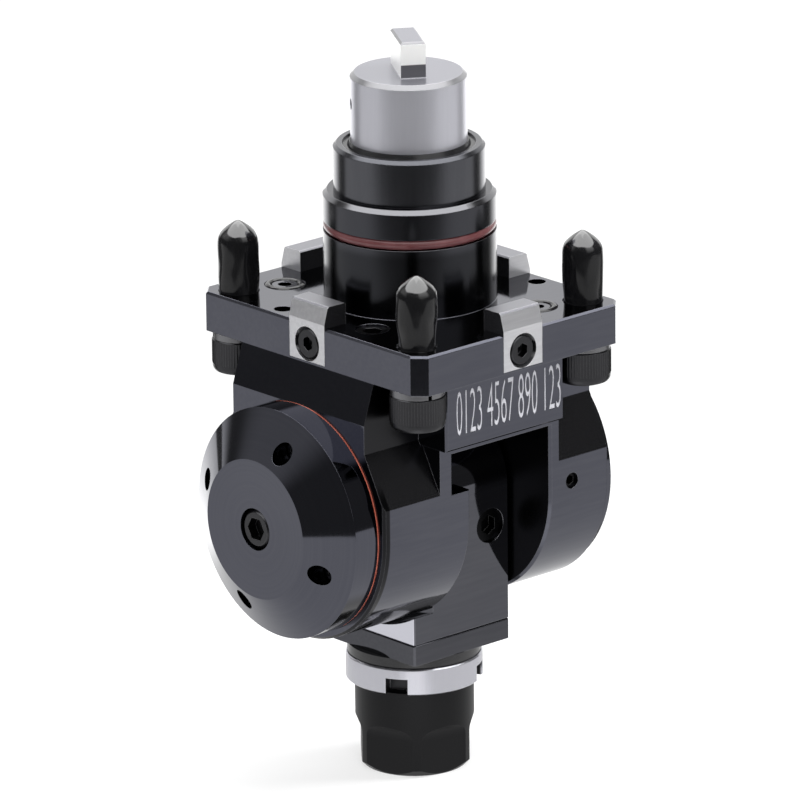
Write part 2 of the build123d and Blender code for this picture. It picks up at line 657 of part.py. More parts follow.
def drive_shaft():
    """Shaft with the tang that the turret drives, down to the bevel gear seat."""
    journal_low = DRIVE_BEARING_LOW - RUN_GAP
    journal_top = DRIVE_BEARING_TOP + RUN_GAP
    shaft_end = LAY_Z + (1 - BEVEL_FACE) * UPPER_BEVEL_R
    shaft = turned([(0, shaft_end), (UPPER_BORE, shaft_end), (UPPER_BORE, DRIVE_GEAR_BACK),
                    (DRIVE_JOURNAL_R - RUN_FIT, journal_low - 1), (DRIVE_JOURNAL_R - RUN_FIT, journal_top),
                    (SHAFT_R, journal_top), (SHAFT_R, SHAFT_TOP - SHAFT_EDGE),
                    (SHAFT_R - SHAFT_EDGE, SHAFT_TOP), (0, SHAFT_TOP)])
    tang = block(-TANG_L / 2, TANG_L / 2, -TANG_W / 2, TANG_W / 2, SHAFT_TOP - 1, TANG_TOP)
    tang = chamfer(tang.faces().sort_by(Axis.Z)[-1].edges(), 0.5)
    shaft += Rot(0, 0, TANG_TURN) * tang
    hole = Pos(0, 0, SHAFT_PIN_Z) * Rot(0, 90, 0) * rod(SHAFT_PIN_R, SHAFT_R - 3, SHAFT_R + 1)
    return shaft - Rot(0, 0, SHAFT_PIN_TURN) * hole


def drive_bevel_gear():
    gear = bevel_gear(UPPER_BEVEL_R, UPPER_BORE, -(DRIVE_GEAR_BACK - LAY_Z), 0)
    return Pos(0, 0, LAY_Z) * Rot(180, 0, 0) * gear


def drive_bearings():
    low = bearing(DRIVE_JOURNAL_R, DRIVE_BEARING_R, DRIVE_BEARING_LOW, DRIVE_BEARING_W)
    high = bearing(DRIVE_JOURNAL_R, DRIVE_BEARING_R, DRIVE_BEARING_TOP - DRIVE_BEARING_W, DRIVE_BEARING_W)
    return low, high


def drive_spacers():
    low = DRIVE_BEARING_LOW + DRIVE_BEARING_W
    high = DRIVE_BEARING_TOP - DRIVE_BEARING_W
    outer = tube(DRIVE_BEARING_R, DRIVE_BEARING_R - 1.4, low, high)
    inner = tube(DRIVE_JOURNAL_R + 1.8, DRIVE_JOURNAL_R - RUN_FIT, low + RUN_GAP, high - RUN_GAP)
    return outer, inner


# Layshaft group

def layshaft():
    tip = -(1 - BEVEL_FACE) * UPPER_BEVEL_R
    outer_in = SPUR_CHAMBER_OUT
    end = outer_in - SMALL_BEARING_W + RUN_GAP
    shaft = turned([(0, end), (LAY_END_R - RUN_FIT, end),
                    (LAY_END_R - RUN_FIT, outer_in + 0.1), (LAY_R - RUN_FIT, outer_in + 0.1),
                    (LAY_R - RUN_FIT, LAY_GEAR_BACK), (UPPER_BORE, LAY_GEAR_BACK), (UPPER_BORE, tip),
                    (0, tip)])
    return on_y(shaft, LAY_Z)


def layshaft_bevel_gear():
    half_pitch = 180.0 / BEVEL_TEETH
    return on_y(bevel_gear(UPPER_BEVEL_R, UPPER_BORE, LAY_GEAR_BACK, half_pitch), LAY_Z)


def layshaft_bearings():
    inner = bearing(LAY_R, LAY_BEARING_IN_R, LAY_BEARING_IN_Y, SMALL_BEARING_W)
    outer = bearing(LAY_END_R, LAY_BEARING_OUT_R, SPUR_CHAMBER_OUT - SMALL_BEARING_W, SMALL_BEARING_W)
    return on_y(inner, LAY_Z), on_y(outer, LAY_Z)


def layshaft_pinion():
    return on_y(spur_gear(PINION_TEETH, LAY_R - RUN_FIT, SPUR_OUT, SPUR_IN, MESH_TURN), LAY_Z)


# Cross shaft group on the swivel axis

def cross_shaft():
    tip = -(1 - BEVEL_FACE) * LOWER_BEVEL_R
    low = CROSS_BEARING_OUT_Y + RUN_GAP
    shaft = turned([(0, low), (CROSS_R - RUN_FIT, low), (CROSS_R - RUN_FIT, CROSS_GEAR_BACK),
                    (LOWER_BORE, CROSS_GEAR_BACK), (LOWER_BORE, tip), (0, tip)])
    return on_y(shaft, SWIVEL_Z)


def cross_wheel():
    """Spur wheel with a hub that reaches towards the outer bearing."""
    half_pitch = 180.0 / WHEEL_TEETH
    wheel = spur_gear(WHEEL_TEETH, CROSS_R - RUN_FIT, SPUR_OUT, SPUR_IN, MESH_TURN + half_pitch)
    wheel += tube(CROSS_R + 2.5, CROSS_R - RUN_FIT, SPUR_OUT - SPUR_HUB, SPUR_OUT)
    return on_y(wheel, SWIVEL_Z)


def cross_bevel_gear():
    half_pitch = 180.0 / BEVEL_TEETH
    return on_y(bevel_gear(LOWER_BEVEL_R, LOWER_BORE, CROSS_GEAR_BACK, half_pitch), SWIVEL_Z)


def cross_bearings():
    inner = bearing(CROSS_R, CROSS_BEARING_R, TRUNNION_END, SMALL_BEARING_W)
    outer = bearing(CROSS_R, CROSS_BEARING_R, CROSS_BEARING_OUT_Y, SMALL_BEARING_W)
    return on_y(inner, SWIVEL_Z), on_y(outer, SWIVEL_Z)


# Covers

def drum_cover():
    """Conical cover whose spigot carries the outer bearing of the cross shaft."""
    spigot_r = SPUR_PITCH * (WHEEL_TEETH + 2) + TIP_GAP - COVER_SPIGOT_FIT
    spigot_end = SPUR_OUT - SPUR_HUB - RUN_GAP
    seat_end = CROSS_BEARING_OUT_Y
    groove = COVER_BACK - COVER_RING_DEPTH
    ring_out = COVER_LAND_R + COVER_RING_W
    cover = turned([(0, COVER_FACE_Y), (COVER_FACE_R, COVER_FACE_Y), (COVER_R, COVER_CONE_Y),
                    (COVER_R, COVER_BACK), (ring_out, COVER_BACK), (ring_out, groove),
                    (COVER_LAND_R, groove), (COVER_LAND_R, LEG_FRONT), (spigot_r, LEG_FRONT),
                    (spigot_r, spigot_end),
                    (CROSS_BEARING_R, spigot_end), (CROSS_BEARING_R, seat_end),
                    (CROSS_R + 1.5, seat_end), (CROSS_R + 1.5, seat_end - 2), (0, seat_end - 2)])
    cover -= rod(PLUG_FACE_R, COVER_FACE_Y - 1, COVER_FACE_Y + PLUG_HEAD_H + PLUG_SINK)
    cover -= rod(PLUG_STEM_R, COVER_FACE_Y, COVER_FACE_Y + PLUG_HEAD_H + PLUG_SINK + PLUG_STEM_L)
    for place in around(4, COVER_BOLT_R, COVER_BOLT_TURN):
        cover -= place * rod(COVER_BOLT_HOLE_R, COVER_FACE_Y - 1, LEG_FRONT - COVER_SCREW_GRIP)
        cover -= place * rod(COVER_SCREW_R + 0.15, LEG_FRONT - COVER_SCREW_GRIP - 1, LEG_FRONT + 1)
    return on_y(cover, SWIVEL_Z)


def drum_oring():
    """Squeezed seal: it fills its groove and shows as a thin line at the joint."""
    ring_out = COVER_LAND_R + COVER_RING_W
    groove = COVER_BACK - COVER_RING_DEPTH
    ring = turned([(COVER_LAND_R, groove), (ring_out, groove), (ring_out, COVER_BACK),
                   (COVER_R - 0.05, COVER_BACK), (COVER_R - 0.05, LEG_FRONT), (COVER_LAND_R, LEG_FRONT)])
    return on_y(ring, SWIVEL_Z)


def drum_cover_screws():
    screw = cap_screw(COVER_SCREW_R, COVER_SCREW_L, COVER_SCREW_HEAD_R, COVER_SCREW_HEAD_H, COVER_SCREW_HEX)
    seat = LEG_FRONT - COVER_SCREW_GRIP
    places = around(4, COVER_BOLT_R, COVER_BOLT_TURN)
    return on_y(Compound([place * Pos(0, 0, seat) * Rot(180, 0, 0) * screw for place in places]), SWIVEL_Z)


def centre_plug():
    """Plug whose flat head has a wide chamfer between its hexagon and the hole."""
    bevel = PLUG_HEAD_EDGE
    plug = turned([(0, -PLUG_STEM_L), (PLUG_STEM_R, -PLUG_STEM_L), (PLUG_STEM_R, 0), (PLUG_HEAD_R, 0),
                   (PLUG_HEAD_R, PLUG_HEAD_H - bevel), (PLUG_HEAD_R - bevel, PLUG_HEAD_H), (0, PLUG_HEAD_H)])
    plug -= Pos(0, 0, PLUG_HEAD_H) * hex_hole(PLUG_HEX, PLUG_HEX_DEPTH)
    seat = COVER_FACE_Y + PLUG_SINK + PLUG_HEAD_H
    return on_y(Pos(0, 0, seat) * Rot(180, 0, 0) * plug, SWIVEL_Z)


def rear_cover():
    back = EAR_BACK + REAR_T
    cover = turned([(0, EAR_BACK), (REAR_R, EAR_BACK), (REAR_R, back - REAR_EDGE),
                    (REAR_R - REAR_EDGE, back), (0, back)])
    for place in around(REAR_BOLT_COUNT, REAR_BOLT_R, 45):
        cover -= place * rod(REAR_SCREW_R + 0.1, EAR_BACK - 1, back + 1)
        sink = back - REAR_SCREW_HEAD_H
        cover -= place * turned([(0, sink), (REAR_SCREW_R + 0.1, sink), (REAR_SCREW_HEAD_R, back),
                                 (REAR_SCREW_HEAD_R, back + 1), (0, back + 1)])
    return on_y(cover, SWIVEL_Z)


def rear_cover_screws():
    screw = flush_screw(REAR_SCREW_R, REAR_SCREW_L, REAR_SCREW_HEAD_R, REAR_SCREW_HEAD_H, 2.0)
    top = EAR_BACK + REAR_T
    places = around(REAR_BOLT_COUNT, REAR_BOLT_R, 45)
    return on_y(Compound([place * Pos(0, 0, top) * screw for place in places]), SWIVEL_Z)


# Swivel bearings

def trunnion_bush():
    return on_y(tube(BUSH_SEAT_R, TRUNNION_R + RUN_FIT, SPUR_CHAMBER_IN, LEG_UPPER_IN), SWIVEL_Z)


def pivot_bush():
    return on_y(tube(PIVOT_BUSH_R, PIVOT_R + RUN_FIT, EAR_IN, PIVOT_RECESS_Y), SWIVEL_Z)


def pivot_pin():
    start = HEAD_BACK - PIVOT_SPIGOT_L
    pin = turned([(0, start), (PIVOT_SPIGOT_R, start), (PIVOT_SPIGOT_R, HEAD_BACK), (PIVOT_R, HEAD_BACK),
                  (PIVOT_R, PIVOT_END), (0, PIVOT_END)])
    return on_y(pin - rod(PIVOT_SCREW_R, PIVOT_END - PIVOT_SCREW_L, PIVOT_END + 1), SWIVEL_Z)


def pivot_washer():
    return on_y(tube(PIVOT_WASHER_R, PIVOT_SCREW_R + 0.2, PIVOT_END, PIVOT_END + PIVOT_WASHER_T), SWIVEL_Z)


def pivot_screw():
    screw = cap_screw(PIVOT_SCREW_R, PIVOT_SCREW_L - 1, PIVOT_SCREW_HEAD_R, PIVOT_SCREW_HEAD_H, 3.0)
    return on_y(Pos(0, 0, PIVOT_END + PIVOT_WASHER_T) * screw, SWIVEL_Z)


def swivel_lock_screw():
    screw = rod(LOCK_R, PIVOT_BUSH_R + RUN_GAP, DRUM_R - LOCK_SINK)
    screw -= Pos(0, 0, DRUM_R - LOCK_SINK) * hex_hole(2.0, 2.0)
    return Pos(0, LOCK_Y, LOCK_Z) * Rot(0, 90, 0) * screw


# Swivel head

def head_body():
    """Block with a rounded top that straddles the leg's rim, and a trunnion sleeve into the leg."""
    sides = Polyline((-HEAD_HALF_X, SWIVEL_Z), (-HEAD_HALF_X, HEAD_BOTTOM), (HEAD_HALF_X, HEAD_BOTTOM),
                     (HEAD_HALF_X, SWIVEL_Z))
    crown = ThreePointArc((HEAD_HALF_X, SWIVEL_Z), (0, SWIVEL_Z + HEAD_HALF_X), (-HEAD_HALF_X, SWIVEL_Z))
    head = along_y(make_face([sides, crown]), HEAD_FRONT, HEAD_BACK)
    head = chamfer(head.edges().filter_by(Axis.Z), HEAD_EDGE)
    head -= on_y(tube(HEAD_SADDLE_R, LEG_RIM_R - RUN_GAP, HEAD_FRONT - 1, HEAD_IN), SWIVEL_Z)
    head += on_y(rod(TRUNNION_R, TRUNNION_END, HEAD_FRONT), SWIVEL_Z)
    cross_room = rod(CROSS_BEARING_R, TRUNNION_END - 1, CROSS_SEAT_IN)
    cross_room += rod(HEAD_CHAMBER_R, CROSS_SEAT_IN, (1 - BEVEL_FACE) * -LOWER_BEVEL_R + 2)
    head -= on_y(cross_room, SWIVEL_Z)
    head -= rod(HEAD_CHAMBER_R, SPINDLE_BEARING_TOP, SWIVEL_Z)
    head -= rod(SPINDLE_BEARING_R, SPINDLE_BEARING_TOP - SPINDLE_BEARING_W, SPINDLE_BEARING_TOP)
    head -= rod(HEAD_WAIST_R, HEAD_BOTTOM, SPINDLE_BEARING_TOP)
    head -= rod(SPINDLE_BEARING_R, HEAD_BOTTOM - 1, PLATE_BOTTOM + SPINDLE_BEARING_W)
    head -= on_y(rod(PIVOT_SPIGOT_R, HEAD_BACK - PIVOT_SPIGOT_L, HEAD_BACK + 1), SWIVEL_Z)
    for turn in (90, -90):
        hole = rod(PORT_PLUG_R, HEAD_HALF_X - PORT_PLUG_L - PORT_PLUG_SINK, HEAD_HALF_X + 1)
        head -= Pos(0, PORT_PLUG_Y, PORT_PLUG_Z) * Rot(0, turn, 0) * hole
    for x, y in corners(PLATE_SCREW_X, PLATE_SCREW_Y):
        head -= Pos(x, y, 0) * rod(PLATE_SCREW_R, PLATE_BOTTOM, PLATE_BOTTOM + PLATE_SCREW_L + 0.5)
    return head


def head_plugs():
    plug = rod(PORT_PLUG_R, HEAD_HALF_X - PORT_PLUG_L - PORT_PLUG_SINK, HEAD_HALF_X - PORT_PLUG_SINK)
    plug -= Pos(0, 0, HEAD_HALF_X - PORT_PLUG_SINK) * hex_hole(4.0, 2.0)
    return Compound([Pos(0, PORT_PLUG_Y, PORT_PLUG_Z) * Rot(0, turn, 0) * plug for turn in (90, -90)])


def nose_plate():
    plate = block(-HEAD_HALF_X, HEAD_HALF_X, HEAD_FRONT, HEAD_BACK, PLATE_BOTTOM, HEAD_BOTTOM)
    plate = chamfer(plate.edges().filter_by(Axis.Z), HEAD_EDGE)
    plate = chamfer(plate.faces().sort_by(Axis.Z)[-1].edges(), PLATE_JOINT)
    plate -= rod(SPINDLE_BEARING_R, PLATE_BOTTOM - 1, HEAD_BOTTOM + 1)
    for x, y in corners(PLATE_SCREW_X, PLATE_SCREW_Y):
        plate -= Pos(x, y, 0) * rod(PLATE_SCREW_R + 0.1, PLATE_BOTTOM - 1, HEAD_BOTTOM + 1)
        sink = turned([(0, -PLATE_SCREW_HEAD_H), (PLATE_SCREW_R + 0.1, -PLATE_SCREW_HEAD_H),
                       (PLATE_SCREW_HEAD_R, 0), (0, 0)])
        plate -= Pos(x, y, PLATE_BOTTOM) * Rot(180, 0, 0) * sink
    return plate


def nose_plate_screws():
    screw = flush_screw(PLATE_SCREW_R, PLATE_SCREW_L, PLATE_SCREW_HEAD_R, PLATE_SCREW_HEAD_H, 1.5)
    places = corners(PLATE_SCREW_X, PLATE_SCREW_Y)
    return Compound([Pos(x, y, PLATE_BOTTOM) * Rot(180, 0, 0) * screw for x, y in places])


def nose_seal():
    return tube(NOSE_SEAL_R, SEAL_BORE_R, SEAL_BOTTOM, PLATE_BOTTOM)


# Spindle group

def spindle_bearings():
    top_low = SPINDLE_BEARING_TOP - SPINDLE_BEARING_W
    upper = bearing(SPINDLE_R, SPINDLE_BEARING_R, top_low, SPINDLE_BEARING_W)
    lower = bearing(SPINDLE_R, SPINDLE_BEARING_R, PLATE_BOTTOM, SPINDLE_BEARING_W)
    return upper, lower


def spindle_spacer():
    """Sleeve that holds the inner races apart on the spindle."""
    low = PLATE_BOTTOM + SPINDLE_BEARING_W + RUN_GAP
    high = SPINDLE_BEARING_TOP - SPINDLE_BEARING_W - RUN_GAP
    return tube(SPACER_R, SPINDLE_R - RUN_FIT, low, high)


def spindle():
    """Hollow spindle from the bevel gear seat to the collet taper."""
    top = SWIVEL_Z - (1 - BEVEL_FACE) * LOWER_BEVEL_R
    neck_top = PLATE_BOTTOM - RUN_GAP
    body = turned([(0, top), (LOWER_BORE, top), (LOWER_BORE, SPINDLE_GEAR_BACK),
                   (SPINDLE_R - RUN_FIT, SPINDLE_GEAR_BACK), (SPINDLE_R - RUN_FIT, neck_top),
                   (SPINDLE_NECK_R, neck_top), (SPINDLE_NECK_R, COLLAR_TOP), (NOSE_R, COLLAR_TOP),
                   (NOSE_R, NOSE_BOTTOM), (TAPER_MOUTH_R, NOSE_BOTTOM), (TAPER_TOP_R, TAPER_TOP),
                   (DRAW_BORE_R, TAPER_TOP), (DRAW_BORE_R, DRAW_BORE_TOP), (0, DRAW_BORE_TOP)])
    return body


def spindle_bevel_gear():
    return Pos(0, 0, SWIVEL_Z) * bevel_gear(LOWER_BEVEL_R, LOWER_BORE, SPINDLE_GEAR_BACK - SWIVEL_Z, 0)


def spindle_collar():
    """Ring with spanner notches that are open at the bottom."""
    collar = turned([(NOSE_R, COLLAR_BOTTOM), (COLLAR_R - COLLAR_EDGE, COLLAR_BOTTOM),
                     (COLLAR_R, COLLAR_BOTTOM + COLLAR_EDGE), (COLLAR_R, COLLAR_TOP - COLLAR_EDGE),
                     (COLLAR_R - COLLAR_EDGE, COLLAR_TOP), (NOSE_R, COLLAR_TOP)])
    notch = block(COLLAR_R - COLLAR_NOTCH_DEPTH, COLLAR_R + 1, -COLLAR_NOTCH_W / 2, COLLAR_NOTCH_W / 2,
                  COLLAR_BOTTOM - 1, COLLAR_BOTTOM + COLLAR_NOTCH_H)
    for i in range(COLLAR_NOTCHES):
        collar -= Rot(0, 0, COLLAR_TURN + 360.0 * i / COLLAR_NOTCHES) * notch
    return collar


def collet():
    """Slotted spring collet in the spindle taper, with its groove and front cone."""
    groove_top = NOSE_BOTTOM - 0.3
    groove_low = groove_top - 1.6
    front = NUT_BOTTOM + 1.2
    cone_r = TAPER_MOUTH_R - 0.4
    collet_top = TAPER_TOP - RUN_GAP
    top_r = TAPER_TOP_R - TAPER_FIT + RUN_GAP * math.tan(TAPER)
    body = turned([(COLLET_BORE_R, collet_top), (top_r, collet_top),
                   (TAPER_MOUTH_R - TAPER_FIT, NOSE_BOTTOM), (COLLET_GROOVE_R, groove_top),
                   (COLLET_GROOVE_R, groove_low), (cone_r, groove_low - 0.5), (COLLET_FRONT_R, front),
                   (COLLET_BORE_R, front)])
    slot_top = TAPER_TOP - COLLET_SLOT_END
    slot = block(COLLET_BORE_R - 1, TAPER_MOUTH_R + 1, -COLLET_SLOT_W / 2, COLLET_SLOT_W / 2,
                 front - 1, slot_top)
    for i in range(COLLET_SLOTS):
        body -= Rot(0, 0, 360.0 * i / COLLET_SLOTS) * slot
    return body


def nut_flat():
    """What the cutter takes for one flat, with a round run-out under the collar."""
    flat = NUT_FLATS / 2
    top = NUT_TOP - NUT_COLLAR_H
    turn = math.acos(1 - (NUT_R - flat) / NUT_RUNOUT_R)
    low = top - NUT_RUNOUT_R * math.sin(turn)
    middle = (flat + NUT_RUNOUT_R * (1 - math.cos(turn / 2)), low + NUT_RUNOUT_R * math.sin(turn / 2))
    runout = ThreePointArc((flat, low), middle, (NUT_R, top))
    rest = Polyline((NUT_R, top), (NUT_R + 1, top), (NUT_R + 1, NUT_BOTTOM - 1), (flat, NUT_BOTTOM - 1),
                    (flat, low))
    return extrude(Plane.XZ * make_face([runout, rest]), amount=NUT_R, both=True)


def collet_nut():
    """Clamping nut: round collar above six milled flats, with a chamfered bottom face."""
    nut = turned([(0, NUT_TOP), (NUT_R, NUT_TOP), (NUT_R, NUT_BOTTOM + NUT_FACE_DROP),
                  (NUT_FACE_R, NUT_BOTTOM), (0, NUT_BOTTOM)])
    for i in range(6):
        nut -= Rot(0, 0, NUT_TURN + 30.0 + 60.0 * i) * nut_flat()
    thread_low = NOSE_BOTTOM - RUN_GAP
    nut -= rod(NOSE_R + 0.08, thread_low, NUT_TOP + 1)
    nut -= turned([(0, thread_low), (TAPER_MOUTH_R + 0.6, thread_low),
                   (TAPER_MOUTH_R + 0.3, thread_low - 2.2), (NUT_MOUTH_R, NUT_BOTTOM + 0.6),
                   (NUT_MOUTH_R + 0.6, NUT_BOTTOM - 0.1), (0, NUT_BOTTOM - 0.1)])
    return nut


drive_bearing_lower, drive_bearing_upper = drive_bearings()
drive_spacer_outer, drive_spacer_inner = drive_spacers()
lay_bearing_inner, lay_bearing_outer = layshaft_bearings()
cross_bearing_inner, cross_bearing_outer = cross_bearings()
spindle_bearing_upper, spindle_bearing_lower = spindle_bearings()

NODES = {
    "fork_housing": fork_housing(),
    "turret_keys": turret_keys(),
    "key_screws": key_screws(),
    "bolt_washers": bolt_washers(),
    "flange_bolts": flange_bolts(),
    "bolt_caps": bolt_caps(),
    "pilot_oring": pilot_oring(),
    "coolant_orings": coolant_orings(),
    "flange_plugs": flange_plugs(),
    "bearing_ring_nut": ring_nut(),
    "shaft_seal": shaft_seal(),
    "drive_shaft": drive_shaft(),
    "drive_bevel_gear": drive_bevel_gear(),
    "drive_bearing_upper": drive_bearing_upper,
    "drive_bearing_lower": drive_bearing_lower,
    "drive_spacer_outer": drive_spacer_outer,
    "drive_spacer_inner": drive_spacer_inner,
    "layshaft": layshaft(),
    "layshaft_bevel_gear": layshaft_bevel_gear(),
    "layshaft_pinion": layshaft_pinion(),
    "layshaft_bearing_inner": lay_bearing_inner,
    "layshaft_bearing_outer": lay_bearing_outer,
    "cross_shaft": cross_shaft(),
    "cross_wheel": cross_wheel(),
    "cross_bevel_gear": cross_bevel_gear(),
    "cross_bearing_inner": cross_bearing_inner,
    "cross_bearing_outer": cross_bearing_outer,
    "drum_cover": drum_cover(),
    "drum_oring": drum_oring(),
    "drum_cover_screws": drum_cover_screws(),
    "centre_plug": centre_plug(),
    "rear_cover": rear_cover(),
    "rear_cover_screws": rear_cover_screws(),
    "trunnion_bush": trunnion_bush(),
    "pivot_bush": pivot_bush(),
    "pivot_pin": pivot_pin(),
    "pivot_washer": pivot_washer(),
    "pivot_screw": pivot_screw(),
    "swivel_lock_screw": swivel_lock_screw(),
    "head_body": head_body(),
    "head_plugs": head_plugs(),
    "nose_plate": nose_plate(),
    "nose_plate_screws": nose_plate_screws(),
    "nose_seal": nose_seal(),
    "spindle_bearing_upper": spindle_bearing_upper,
    "spindle_bearing_lower": spindle_bearing_lower,
    "spindle_spacer": spindle_spacer(),
    "spindle": spindle(),
    "spindle_bevel_gear": spindle_bevel_gear(),
    "spindle_collar": spindle_collar(),
    "collet": collet(),
    "collet_nut": collet_nut(),
}

for name, shape in NODES.items():
    export_step(shape, f"parts/{name}.step")
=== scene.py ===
"""Finishes, fine pieces, studio and camera of a driven turret tool holder.

Shaders and the studio work in metres in the part's own frame: Z runs up the drive shaft, and the
head swivels about an axis parallel to Y. The fine pieces' own sizes are in millimetres.
"""

import logging
import math
from dataclasses import dataclass
from enum import Enum
from typing import Optional, Union

import bmesh
import bpy
from mathutils import Matrix, Vector, noise


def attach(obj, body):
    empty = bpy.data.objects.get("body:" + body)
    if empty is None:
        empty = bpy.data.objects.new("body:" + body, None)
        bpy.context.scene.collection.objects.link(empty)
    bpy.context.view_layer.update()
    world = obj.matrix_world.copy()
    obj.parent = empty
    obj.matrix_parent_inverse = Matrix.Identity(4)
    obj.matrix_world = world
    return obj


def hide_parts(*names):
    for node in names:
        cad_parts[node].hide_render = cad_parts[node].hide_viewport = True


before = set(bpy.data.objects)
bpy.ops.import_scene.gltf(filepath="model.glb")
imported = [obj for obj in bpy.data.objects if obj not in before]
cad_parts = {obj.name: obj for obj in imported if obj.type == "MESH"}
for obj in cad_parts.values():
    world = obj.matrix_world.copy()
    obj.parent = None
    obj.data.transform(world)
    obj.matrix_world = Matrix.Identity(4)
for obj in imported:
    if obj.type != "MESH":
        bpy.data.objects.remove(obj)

LOG = logging.getLogger("holder")
MM = 0.001
SWIVEL_Z = -45.6 * MM
MERGE = 1e-7
Colour = tuple[float, float, float]
Point = tuple[float, float, float]
# A ramp is where a mask is 0 and where it is 1. A span is where it leaves 0, reaches 1, leaves 1
# and is 0 again.
Ramp = tuple[float, float]
Span = tuple[float, float, float, float]


def mm(*lengths: float) -> tuple[float, ...]:
    """Millimetres as metres."""
    return tuple(length * MM for length in lengths)


class Value:
    """A node's output socket that is used in Python expressions."""

    def __init__(self, graph: "Graph", socket: bpy.types.NodeSocket) -> None:
        """Wrap one output.

        Args:
            graph: The tree that the socket belongs to.
            socket: The output socket.
        """
        self.graph = graph
        self.socket = socket

    def _math(self, operation: str, *terms: object) -> "Value":
        """Add one Math node.

        Args:
            operation: The Math node's operation.
            terms: Its inputs in order.

        Returns:
            The node's result.
        """
        return self.graph.node("ShaderNodeMath", {"operation": operation}, dict(enumerate(terms)))

    def __add__(self, other: object) -> "Value":
        """Sum of two values."""
        return self._math("ADD", self, other)

    def __radd__(self, other: object) -> "Value":
        """Sum with a number on the left."""
        return self._math("ADD", other, self)

    def __sub__(self, other: object) -> "Value":
        """Difference of two values."""
        return self._math("SUBTRACT", self, other)

    def __rsub__(self, other: object) -> "Value":
        """Difference with a number on the left."""
        return self._math("SUBTRACT", other, self)

    def __mul__(self, other: object) -> "Value":
        """Product of two values."""
        return self._math("MULTIPLY", self, other)

    def __rmul__(self, other: object) -> "Value":
        """Product with a number on the left."""
        return self._math("MULTIPLY", other, self)

    def __truediv__(self, other: object) -> "Value":
        """Quotient of two values."""
        return self._math("DIVIDE", self, other)

    def squared(self) -> "Value":
        """Square of the value."""
        return self * self

    def root(self) -> "Value":
        """Square root of the value."""
        return self._math("SQRT", self)

    def size(self) -> "Value":
        """The value without its sign."""
        return self.squared().root()

    def step(self, ramp: Ramp) -> "Value":
        """Smooth step between 0 and 1.

        Args:
            ramp: Where the result is 0 and where it is 1, in either order.

        Returns:
            The stepped value.
        """
        low, high = ramp
        return self.graph.node("ShaderNodeMapRange", {"interpolation_type": "SMOOTHSTEP"},
                               {0: self, 1: low, 2: high, 3: 0.0, 4: 1.0})

    def window(self, span: Span) -> "Value":
        """Mask that is 1 inside a span and 0 outside it.

        Args:
            span: Where the mask leaves 0, reaches 1, leaves 1 and is 0 again.

        Returns:
            The mask.
        """
        low, start, end, high = span
        return self.step((low, start)) * self.step((high, end))


@dataclass(frozen=True)
class Texture:
    """Noise pattern: cells per metre, octaves, and the strength of the finer octaves."""

    scale: float
    detail: float = 2.0
    rough: float = 0.5


class Graph:
    """Node tree of a material or world, filled by one method that adds any node."""

    def __init__(self, tree: bpy.types.NodeTree) -> None:
        """Empty the tree.

        Args:
            tree: The node tree to fill.
        """
        self.tree = tree
        tree.nodes.clear()

    def node(self, kind: str, settings: Optional[dict] = None, inputs: Optional[dict] = None,
             output: Union[int, str] = 0) -> Value:
        """Add one node.

        Args:
            kind: The node's type name.
            settings: Attributes, which are set first.
            inputs: Numbers, colours or Values by socket name or place.
            output: Which output to return.

        Returns:
            The chosen output.
        """
        made = self.tree.nodes.new(kind)
        for key, setting in (settings or {}).items():
            setattr(made, key, setting)
        for key, given in (inputs or {}).items():
            if isinstance(given, Value):
                self.tree.links.new(given.socket, made.inputs[key])
            else:
                made.inputs[key].default_value = given
        return Value(self, made.outputs[output])

    def parts(self, vector: Value) -> tuple[Value, Value, Value]:
        """X, Y and Z of a vector."""
        split = self.node("ShaderNodeSeparateXYZ", {}, {0: vector}).socket.node.outputs
        return Value(self, split[0]), Value(self, split[1]), Value(self, split[2])

    def place(self) -> "Place":
        """Where the shaded point lies and which way it faces.

        Returns:
            Object coordinates, their parts and the parts of the object's own normal.
        """
        spot = self.node("ShaderNodeTexCoord", output="Object")
        facing = self.node("ShaderNodeTexCoord", output="Normal")
        return Place(spot, *self.parts(spot), *self.parts(facing))

    def join(self, x: object, y: object, z: object) -> Value:
        """Vector from three values."""
        return self.node("ShaderNodeCombineXYZ", {}, {0: x, 1: y, 2: z})

    def noise(self, vector: Value, texture: Texture) -> Value:
        """Noise between 0 and 1.

        Args:
            vector: Where it is read.
            texture: Its pattern.

        Returns:
            The noise value.
        """
        return self.node("ShaderNodeTexNoise", {}, {
            "Vector": vector, "Scale": texture.scale, "Detail": texture.detail,
            "Roughness": texture.rough})

    def mix(self, factor: object, first: object, second: object) -> Value:
        """Blend of two colours.

        Args:
            factor: 0 for the first colour, 1 for the second.
            first: Colour or Value.
            second: Colour or Value.

        Returns:
            The blended colour.
        """
        def socket(colour: object) -> object:
            """Colour with its alpha, or the link as it is."""
            return colour if isinstance(colour, Value) else (*colour, 1.0)

        return self.node("ShaderNodeMix", {"data_type": "RGBA"},
                         {0: factor, 6: socket(first), 7: socket(second)}, output=2)

    def rays(self) -> tuple[Value, Value]:
        """Which kind of ray is shaded.

        Returns:
            A value that is 1 on glossy rays, and one that is 1 on camera and transmission rays.
        """
        rays = self.node("ShaderNodeLightPath").socket.node.outputs
        plain = Value(self, rays["Is Camera Ray"]) + Value(self, rays["Is Transmission Ray"])
        return Value(self, rays["Is Glossy Ray"]), plain

    def shader(self, output: str, surface: Value) -> None:
        """Add the tree's output node.

        Args:
            output: The output node's type name.
            surface: The shader to show.
        """
        made = self.tree.nodes.new(output)
        self.tree.links.new(surface.socket, made.inputs["Surface"])


def blank_material(name: str) -> tuple[bpy.types.Material, Graph]:
    """Start a material.

    Args:
        name: The material's name.

    Returns:
        The material and its empty tree.
    """
    material = bpy.data.materials.new(name)
    material.use_nodes = True
    return material, Graph(material.node_tree)


